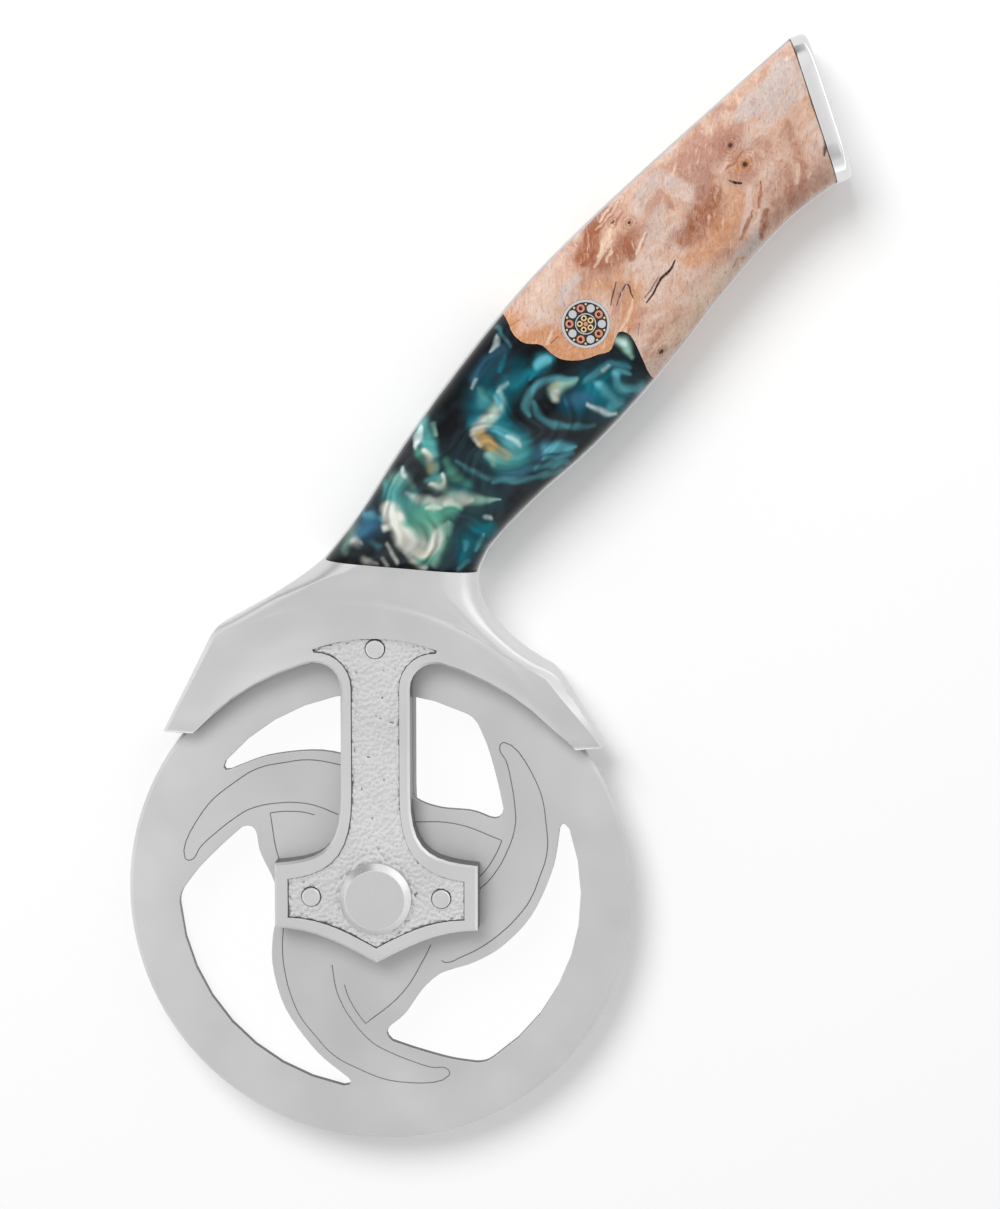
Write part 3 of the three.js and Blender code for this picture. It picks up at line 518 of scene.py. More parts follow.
def stroke_group():
    """Make the node group that gives how far a place lies under a straight tapered stroke."""
    tree = bpy.data.node_groups.new("tapered_stroke", "ShaderNodeTree")
    for name in ("Place", "Start", "Share", "Run"):
        tree.interface.new_socket(name, in_out='INPUT', socket_type='NodeSocketVector')
    for name in ("Width", "Widening", "Core"):
        tree.interface.new_socket(name, in_out='INPUT', socket_type='NodeSocketFloat')
    tree.interface.new_socket("Cover", in_out='OUTPUT', socket_type='NodeSocketFloat')
    given = tree.nodes.new("NodeGroupInput").outputs
    reach = vector_compute(tree, 'SUBTRACT', given["Place"], given["Start"]).outputs[0]
    share = vector_compute(tree, 'DOT_PRODUCT', reach, given["Share"]).outputs["Value"]
    held = hold_between(tree, share, 0.0, 1.0)
    done = scaled(tree, given["Run"], held)
    gap = vector_compute(tree, 'DISTANCE', reach, done).outputs["Value"]
    width = compute(tree, 'MULTIPLY_ADD', held, given["Widening"], given["Width"])
    ratio = compute(tree, 'DIVIDE', gap, width)
    cover = remap(tree, ratio, given["Core"], 1.0, 1.0, 0.0, smooth=True)
    result = tree.nodes.new("NodeGroupOutput")
    tree.links.new(cover, result.inputs["Cover"])
    return tree


def rounded_line(points):
    """Put points between those of a long line, so that it bends without corners."""
    if len(points) < 4:
        return points
    ends = [points[0], *points, points[-1]]
    line = []
    for before, first, second, after in zip(ends, ends[1:], ends[2:], ends[3:]):
        middle = tuple((9.0 * (b + c) - a - d) / 16.0 for a, b, c, d in zip(before, first, second, after))
        line += [first, middle]
    return [*line, points[-1]]


def lay_stroke(tree, group, place, core, points, spread=1.0):
    """Give the cover of a stroke through points, each along, across and half width in millimetres."""
    line = rounded_line(points)
    cover = None
    for first, second in zip(line, line[1:]):
        run = Vector((second[0] - first[0], second[1] - first[1], 0.0))
        inputs = {
            "Place": place, "Start": (first[0], first[1], 0.0),
            "Share": run / run.length_squared, "Run": run,
            "Width": first[2] * spread, "Widening": (second[2] - first[2]) * spread, "Core": core / spread,
        }
        made = add_node(tree, "ShaderNodeGroup", inputs, node_tree=group).outputs["Cover"]
        cover = made if cover is None else compute(tree, 'MAXIMUM', cover, made)
    return cover


def warped_place(tree, place, wide, fine, wide_scale=0.11, fine_scale=0.42, detail=2.0):
    """Shift the flat place on the handle by soft noise, as the pour or the growth did."""
    shift = noise(tree, place, wide_scale, detail=1.0).outputs["Color"]
    small = noise(tree, place, fine_scale, detail).outputs["Color"]
    shift = vector_compute(tree, 'SUBTRACT', shift, (0.5, 0.5, 0.5)).outputs[0]
    small = vector_compute(tree, 'SUBTRACT', small, (0.5, 0.5, 0.5)).outputs[0]
    moved = vector_compute(tree, 'MULTIPLY_ADD', shift, (wide, wide, 0.0), place).outputs[0]
    moved = vector_compute(tree, 'MULTIPLY_ADD', small, (fine, fine, 0.0), moved).outputs[0]
    return stretched(tree, moved, (1.0, 1.0, 0.0))


def stirred_place(tree, place, whorls):
    """Turn the place round each whorl, most at its centre, so that straight streaks wind into spirals."""
    for along, across, turn, reach in whorls:
        centre = (along, across, 0.0)
        gap = vector_compute(tree, 'DISTANCE', place, centre).outputs["Value"]
        share = compute(tree, 'DIVIDE', gap, reach)
        squared = compute(tree, 'MULTIPLY', share, share)
        fading = compute(tree, 'EXPONENT', compute(tree, 'MULTIPLY', squared, -1.0))
        inputs = {"Vector": place, "Center": centre, "Angle": compute(tree, 'MULTIPLY', fading, turn)}
        place = add_node(tree, "ShaderNodeVectorRotate", inputs, rotation_type='Z_AXIS').outputs[0]
    return place


# Whorls of the resin: centre along and across, turn in radians, reach in millimetres
RESIN_WHORLS = (
    (57.0, -7.6, 2.2, 5.0), (43.6, 0.4, -1.6, 6.0), (31.2, 0.8, 1.6, 6.0), (38.0, 10.0, -1.2, 6.0),
    (9.5, 3.0, -1.6, 7.0), (20.5, 10.0, 1.4, 5.0), (14.0, -7.5, 1.2, 5.0),
)

# Swirls of the resin from the lowest to the topmost: colour, strength, solid core, points
RESIN_SWIRLS = (
    ("ink", 0.9, 0.1, ((22, 13, 3), (30, 13, 4.5), (38, 16.5, 3.6), (46, 15, 4.5), (50, 10, 4))),
    ("char", 0.8, 0.1, ((-7, 9, 4), (-1, 4, 4.5), (3, -2, 3.5), (7, -7, 2.5))),
    ("char", 0.8, 0.1, ((19, -7.5, 3), (28, -8, 3.5), (37, -3, 4.5), (44, -7, 4.5), (50, -11, 3))),
    ("murk", 0.9, 0.1, ((6, -6, 3), (12, -4, 3), (18, -3, 3.2), (22, -5, 2.5))),
    ("murk", 0.6, 0.1, ((21, 8, 2.4), (22, 3, 2.4), (25, -1, 2.6))),
    ("ink", 0.6, 0.1, ((36, 4, 2.5), (41, 5.5, 2.2), (46, 7.5, 2.6))),
    ("ink", 0.75, 0.1, ((50, 4.5, 2.4), (53, 1.5, 2.2), (57, -1, 2.2), (60.5, -2, 2.2), (60.8, -6, 2))),
    # Painted shade: a dark line along the resin's end at the bolster
    ("ink", 0.9, 0.2, ((-8, 11.6, 0.8), (10, -12.3, 0.8))),
    ("ink", 0.5, 0.1, ((-5, 9, 1.8), (-3, 8.4, 2), (-1, 6.6, 1.6))),
    ("mint", 0.4, 0.1, ((-4.4, 10.6, 0.9), (-2.6, 11.5, 1.1))),
    ("mint", 0.55, 0.1, ((-0.8, 12, 1.1), (0.6, 11.7, 1))),
    ("cream", 0.6, 0.1, ((-2.1, 10.6, 0.7), (-1.6, 10.1, 0.9), (-1.1, 9.2, 0.4))),
    ("blue", 0.95, 0.25, ((0.5, 10.5, 1.7), (2.2, 10.8, 2.2), (3.7, 10.3, 1.6))),
    ("cyan", 0.36, 0.1, ((3.2, 12.5, 0.65), (4.3, 11.3, 0.65), (4.9, 9.8, 0.52), (5, 8.6, 0.52))),
    ("cream", 0.35, 0.1, ((-3.1, 6.8, 0.6), (-2.7, 5.4, 0.7), (-2.2, 4.2, 0.4))),
    ("cream", 0.3, 0.1, ((-0.7, 3.7, 0.4), (-1.2, 2.6, 0.4))),
    ("cyan", 0.22, 0.1, ((0.4, 8, 0.52), (0.5, 6, 0.65))),
    ("cream", 0.45, 0.1, ((2, 5.2, 0.4), (1.8, 3.6, 0.5), (0.7, 1.5, 0.4))),
    ("cream", 0.4, 0.1, ((3.5, 1.2, 0.5), (3.3, -1, 0.7), (3.9, -3.6, 0.5))),
    ("sea", 0.75, 0.1, ((4.4, -1.8, 1), (6, -3.1, 1.2), (8, -3.4, 1.1), (10.5, -2.8, 1),
                        (13.4, -1.4, 0.6))),
    ("mint", 0.45, 0.1, ((5.4, -4.5, 0.5), (8, -4, 0.5), (10.4, -3.2, 0.4))),
    ("jade", 0.9, 0.1, ((10.2, 13.4, 0.8), (9.6, 11.4, 1.7), (9.1, 9, 2), (9.4, 6.6, 2.2),
                        (10.4, 4.4, 2.4))),
    ("jade", 0.75, 0.1, ((12, 11.6, 1.9), (11.8, 9, 2.1), (11.4, 6.4, 1.5))),
    ("mint", 0.4, 0.1, ((12.2, 12.8, 1.1), (14.4, 11.8, 1.2), (14.2, 9.4, 0.9))),
    ("white", 0.6, 0.1, ((14.9, 13.3, 0.5), (14.3, 12, 0.6))),
    ("sea", 0.95, 0.3, ((8.4, 5, 1.8), (10.4, 3.6, 2.6), (12.8, 2.2, 2.1), (15.4, 1, 1.4), (17.4, 0, 0.8))),
    ("mint", 0.7, 0.15, ((7.4, 2.2, 1.8), (8.4, 0.4, 2.2), (10, 0.2, 1.8))),
    ("mint", 0.85, 0.3, ((10.4, -0.8, 1.2), (12, -1.3, 1.1), (13.4, -0.9, 0.5))),
    ("cream", 0.9, 0.35, ((7.3, 10.1, 1), (7.1, 8.4, 1.4), (7.7, 6.8, 1))),
    ("cream", 0.8, 0.2, ((7, 7.4, 0.8), (5.2, 6.9, 0.7), (4, 7.6, 0.6))),
    ("cream", 0.95, 0.35, ((6.2, 6.4, 0.8), (5.4, 4.4, 1.2), (4.8, 2.4, 1.1), (4.9, 0.6, 1),
                           (5.5, -0.9, 0.9),
                           (6.6, -1.9, 0.9), (8.2, -2, 1), (9.7, -1.4, 1.1), (10.7, -0.5, 0.6))),
    ("cream", 0.75, 0.2, ((6.6, 4.4, 0.9), (6.2, 2.2, 1.3), (6.6, 0.6, 1.5), (7.8, -0.8, 1))),
    ("sand", 0.3, 0.1, ((5.2, -0.6, 0.5), (6, -1.8, 0.5), (7.2, -2.6, 0.4))),
    ("cream", 0.4, 0.1, ((12.1, 8.8, 0.5), (12.8, 6.8, 0.8), (14.2, 4.7, 0.8), (15.4, 3.3, 0.7),
                         (17.2, 2, 0.7))),
    ("cream", 0.5, 0.2, ((12.8, 4, 0.4), (14, 3, 0.7), (15.2, 1.8, 0.4))),
    ("teal", 0.5, 0.1, ((19.4, 2.4, 1.2), (21, 1.2, 1.1))),
    ("mint", 0.6, 0.2, ((18.2, 2, 0.7), (19.4, 0.4, 0.9), (20.6, -1.8, 0.8), (22, -4, 0.5),
                        (23.2, -5.5, 0.2))),
    ("cream", 0.5, 0.2, ((16.3, 1.7, 0.5), (18, 0.8, 0.9), (19.4, 0, 0.8), (20, -1, 0.4))),
    ("sea", 0.5, 0.1, ((22, 7.2, 0.8), (20.9, 4.2, 1), (21.5, 1.4, 0.8))),
    ("char", 0.9, 0.4, ((17.5, 13.8, 1.6), (17.3, 11.2, 1.8), (16.8, 8.4, 1.5), (16.2, 5.4, 0.9))),
    ("sea", 0.6, 0.1, ((19.6, 12.8, 0.9), (19.4, 10, 0.9))),
    ("jade", 0.95, 0.3, ((23.8, 15.4, 1.5), (22.7, 13.6, 1.5), (21.5, 11.2, 1.3), (20.4, 9.4, 1),
                         (19, 7.9, 0.7))),
    ("white", 0.8, 0.2, ((23.4, 15.4, 0.5), (21.6, 14.8, 0.8), (19.8, 13.9, 0.4))),
    ("sand", 0.5, 0.1, ((20.4, 10.4, 0.7), (19.2, 8.7, 0.9))),
    ("cream", 0.8, 0.1, ((20.5, 11.9, 0.5), (20.2, 10.1, 0.6))),
    ("mint", 0.75, 0.2, ((17.4, 5.6, 1), (18.4, 5.2, 1.1), (19.1, 5.6, 0.8))),
    ("jade", 0.7, 0.2, ((17.2, 7.8, 0.6), (18.4, 6.7, 0.9), (19.3, 6.1, 0.6))),
    ("cream", 0.7, 0.1, ((16.9, 6.8, 0.4), (17.3, 5.2, 0.5), (18.2, 4.5, 0.5), (19.1, 4.9, 0.4),
                         (19.6, 6.2, 0.3))),
    ("mint", 0.35, 0.1, ((18, 3.6, 0.9), (18.4, 2.6, 0.9))),
    ("cyan", 0.25, 0.1, ((23.6, 6, 0.39), (23.9, 3, 0.52), (25.2, 0, 0.52), (27, -3, 0.52),
                         (28.6, -4.8, 0.39))),
    ("mint", 0.45, 0.1, ((24.8, 12.8, 0.4), (26.1, 14.5, 0.4))),
    ("teal", 0.95, 0.2, ((10.4, -7.6, 1.4), (13, -6.9, 2), (15.4, -6.7, 2.1), (17.8, -7.6, 1.2))),
    ("cyan", 0.85, 0.1, ((13, -8.5, 0.4), (14.6, -8.1, 0.6), (15.8, -7.5, 0.3))),
    ("cyan", 0.5, 0.1, ((11.4, -6.7, 0.45), (12.6, -6, 0.52))),
    ("white", 0.5, 0.1, ((18.8, -5.4, 0.45), (19.4, -6.6, 0.39))),
    ("cyan", 0.36, 0.1, ((8.2, -8.3, 0.39), (10.2, -8.8, 0.52))),
    ("deep", 0.95, 0.1, ((32, 9.4, 1.6), (36, 10.6, 2.8), (40, 11.2, 3), (44, 10.4, 2.4), (46, 9, 1.4))),
    ("blue", 0.45, 0.1, ((38, 14.1, 1), (42, 14.4, 1.5), (45.6, 13.8, 1))),
    ("teal", 0.9, 0.1, ((33.4, 5, 1.4), (36.6, 6.1, 1.7), (40, 7.5, 1.8), (43.2, 8, 1.6), (46, 7.4, 0.8))),
    ("teal", 0.8, 0.1, ((31, 8, 1), (34, 9.4, 1.3), (37, 9.2, 1.3), (41, 8.9, 1))),
    ("jade", 0.6, 0.1, ((34.6, 9.3, 0.9), (36.2, 10.3, 1.2), (37.2, 11.6, 0.7))),
    ("slate", 0.6, 0.1, ((40, 10.4, 1.1), (41.6, 11, 1.3), (43.2, 10.5, 1))),
    ("teal", 0.85, 0.1, ((42, 11.4, 0.4), (43.6, 12.5, 0.5), (45, 12.9, 0.3))),
    ("murk", 0.8, 0.1, ((27.6, 3.6, 1), (27.3, 1.2, 1.2), (28, -1, 1))),
    ("teal", 0.95, 0.3, ((33.2, 4.6, 1.1), (34.4, 2.4, 1.6), (34.6, 0, 1.6), (33.6, -2.6, 1.6),
                         (31.4, -2.9, 1.6),
                         (29.4, -1.4, 1.5), (28.6, 0.8, 1))),
    ("jade", 0.95, 0.3, ((29.9, 0.6, 1.4), (31, -1.2, 2.4), (32.8, -1.4, 2.2), (33.8, 0.2, 1.4))),
    ("cyan", 0.75, 0.15, ((33.4, 4.4, 0.8), (33.8, 2.6, 1.1), (33.6, 0.6, 1))),
    ("mint", 0.7, 0.1, ((28.8, 1.6, 0.7), (28.3, 0.2, 0.6))),
    ("cream", 0.7, 0.2, ((29.2, 4.2, 0.4), (29.4, 5.6, 0.6), (30.6, 6.6, 0.8), (32.4, 6.9, 1),
                         (34.6, 6.7, 1))),
    ("mint", 0.85, 0.25, ((33.4, 6.4, 0.7), (35.4, 6.8, 1.1), (37.2, 7.4, 1), (38.9, 8.2, 0.5))),
    ("cream", 0.6, 0.1, ((34.4, 6.8, 0.5), (36.6, 7.2, 0.6))),
    ("cyan", 0.9, 0.2, ((36.8, 7.4, 0.6), (38, 7.9, 0.8), (39.2, 8.4, 0.4))),
    ("sand", 0.95, 0.3, ((30.7, 5.8, 0.8), (30.3, 4.2, 1.1), (30.5, 2.4, 0.9))),
    ("sand", 0.5, 0.1, ((30.6, 2, 1), (30.9, -0.8, 1))),
    ("white", 0.47, 0.1, ((34.2, 1.8, 0.39), (34.5, 0.2, 0.65), (34.2, -1.2, 0.39))),
    ("white", 0.36, 0.1, ((38.8, 8.8, 0.33), (40, 8.9, 0.52), (41.6, 8.9, 0.33))),
    ("white", 0.25, 0.1, ((36, 13.1, 0.33), (38, 13.7, 0.33))),
    ("white", 0.4, 0.1, ((43.6, 15.5, 0.26), (45.4, 15.3, 0.45), (46.5, 16.1, 0.4))),
    ("cyan", 0.25, 0.1, ((47.2, 13.4, 0.39), (47.6, 15.6, 0.52), (47.9, 17.6, 0.52))),
    ("cyan", 0.5, 0.15, ((25.6, -2.2, 0.4), (29, -5.6, 0.7), (32.6, -8.6, 0.6), (35.4, -10.2, 0.5))),
    ("blue", 0.5, 0.1, ((27.4, -3, 0.6), (30.4, -5, 0.8), (33, -6.4, 0.6))),
    ("cyan", 0.5, 0.1, ((32.8, -6.5, 0.5), (35.4, -8.4, 0.8), (37.4, -10, 0.6))),
    ("blue", 0.7, 0.1, ((34.6, -5, 1), (37, -5.4, 1.4), (40, -8, 1.1))),
    ("cyan", 0.9, 0.2, ((36.8, -5.5, 0.9), (38.3, -6.9, 1.2), (39.7, -8.3, 0.9), (40.6, -9.3, 0.3))),
    ("deep", 0.8, 0.2, ((36, -6.4, 0.3), (38, -8.4, 0.4), (39.2, -9.4, 0.3))),
    ("cyan", 0.43, 0.1, ((35.2, -6.3, 0.45), (37.4, -8.5, 0.65), (39.4, -9.6, 0.39))),
    ("slate", 0.7, 0.1, ((41.8, 2.8, 1), (44, 3, 1.2), (46.6, 2.6, 1))),
    ("ink", 1.0, 0.45, ((41.7, 0.1, 1.3), (43, 0.2, 1.7), (44.8, -0.1, 1.6))),
    ("deep", 0.7, 0.1, ((45.6, -1.9, 1), (49, -1.8, 1.2), (52.6, -1, 0.8))),
    ("mint", 0.85, 0.2, ((45.5, 0.1, 0.8), (46.6, 0.9, 1.2), (47.8, 0.7, 1.2), (49.2, -0.1, 0.9),
                         (51, -0.6, 0.4))),
    ("cream", 0.8, 0.1, ((45.4, -0.3, 0.7), (46.4, 0.5, 0.7))),
    ("sand", 0.35, 0.1, ((46.2, 1.6, 0.5), (48, 1.3, 0.5))),
    ("cyan", 0.54, 0.15, ((39.7, 1.4, 0.39), (40.2, 2.8, 0.52), (41.4, 3.8, 0.59), (43.2, 4.3, 0.65),
                          (45, 4.2, 0.72),
                          (46.6, 3.7, 0.65), (48.2, 2.6, 0.59), (49.6, 1.2, 0.52), (51, -0.2, 0.33))),
    ("cyan", 0.4, 0.15, ((41.7, 2.7, 0.52), (40.9, 0.6, 0.59), (40.9, -1.4, 0.52), (41.8, -3.4, 0.52),
                          (43.2, -5.4, 0.52), (44.8, -7.2, 0.52), (46.8, -8.8, 0.39))),
    ("teal", 0.95, 0.25, ((45.4, 6.2, 0.3), (47.2, 6.3, 1), (49.2, 6.4, 1.4), (50.8, 5.2, 0.5))),
    ("cyan", 0.9, 0.2, ((48.2, 6.9, 0.6), (49.6, 6.6, 0.9), (50.2, 5.6, 0.5))),
    ("deep", 0.95, 0.25, ((46, -2.8, 1.6), (49, -4.8, 3), (52.6, -5.6, 4), (56, -4.8, 2.4),
                          (58.4, -5.6, 1.6))),
    ("deep", 0.8, 0.2, ((52, -8, 2.4), (56, -9.4, 2.4))),
    ("teal", 0.9, 0.15, ((51.6, -4.4, 1.8), (52.4, -6.6, 2.4), (52.6, -9.4, 2.2))),
    ("blue", 0.7, 0.1, ((46.6, -2.4, 0.9), (48.2, -3.6, 1.5), (49.6, -5.2, 1))),
    ("cyan", 0.85, 0.1, ((53.1, -4.2, 0.5), (52.8, -6.6, 0.9), (53, -9.8, 0.7))),
    ("cyan", 0.5, 0.1, ((51.4, -9.4, 0.8), (53.2, -9.9, 0.8))),
    ("white", 0.65, 0.1, ((48.8, -5.6, 0.3), (49.3, -7.4, 0.6), (49.9, -9, 0.6), (50.9, -10.8, 0.4))),
    ("cyan", 0.85, 0.2, ((57.8, -10.9, 1.1), (56.2, -9.6, 1.1), (55.4, -8, 0.9), (55.4, -6.8, 0.7),
                         (56.2, -5.7, 0.7),
                         (57.4, -5.5, 0.7), (58.2, -6.4, 0.5), (58.7, -7.8, 0.3))),
    ("murk", 0.9, 0.2, ((57.2, -7.7, 1), (57.9, -8.9, 1.2))),
    ("cyan", 0.4, 0.1, ((51.8, -2.4, 0.52), (54.6, -2.9, 0.65), (57, -3.4, 0.65), (58.6, -4.6, 0.65),
                        (59.5, -6.8, 0.39))),
    ("white", 0.43, 0.1, ((55.4, -3.2, 0.33), (57, -3.5, 0.33))),
    ("mint", 0.8, 0.15, ((61.5, -1.2, 0.7), (62.3, -2.6, 1), (62, -4, 0.8), (61.3, -5.8, 0.4))),
    ("white", 0.5, 0.1, ((61.7, -1.4, 0.52), (62.4, -2.8, 0.52))),
)

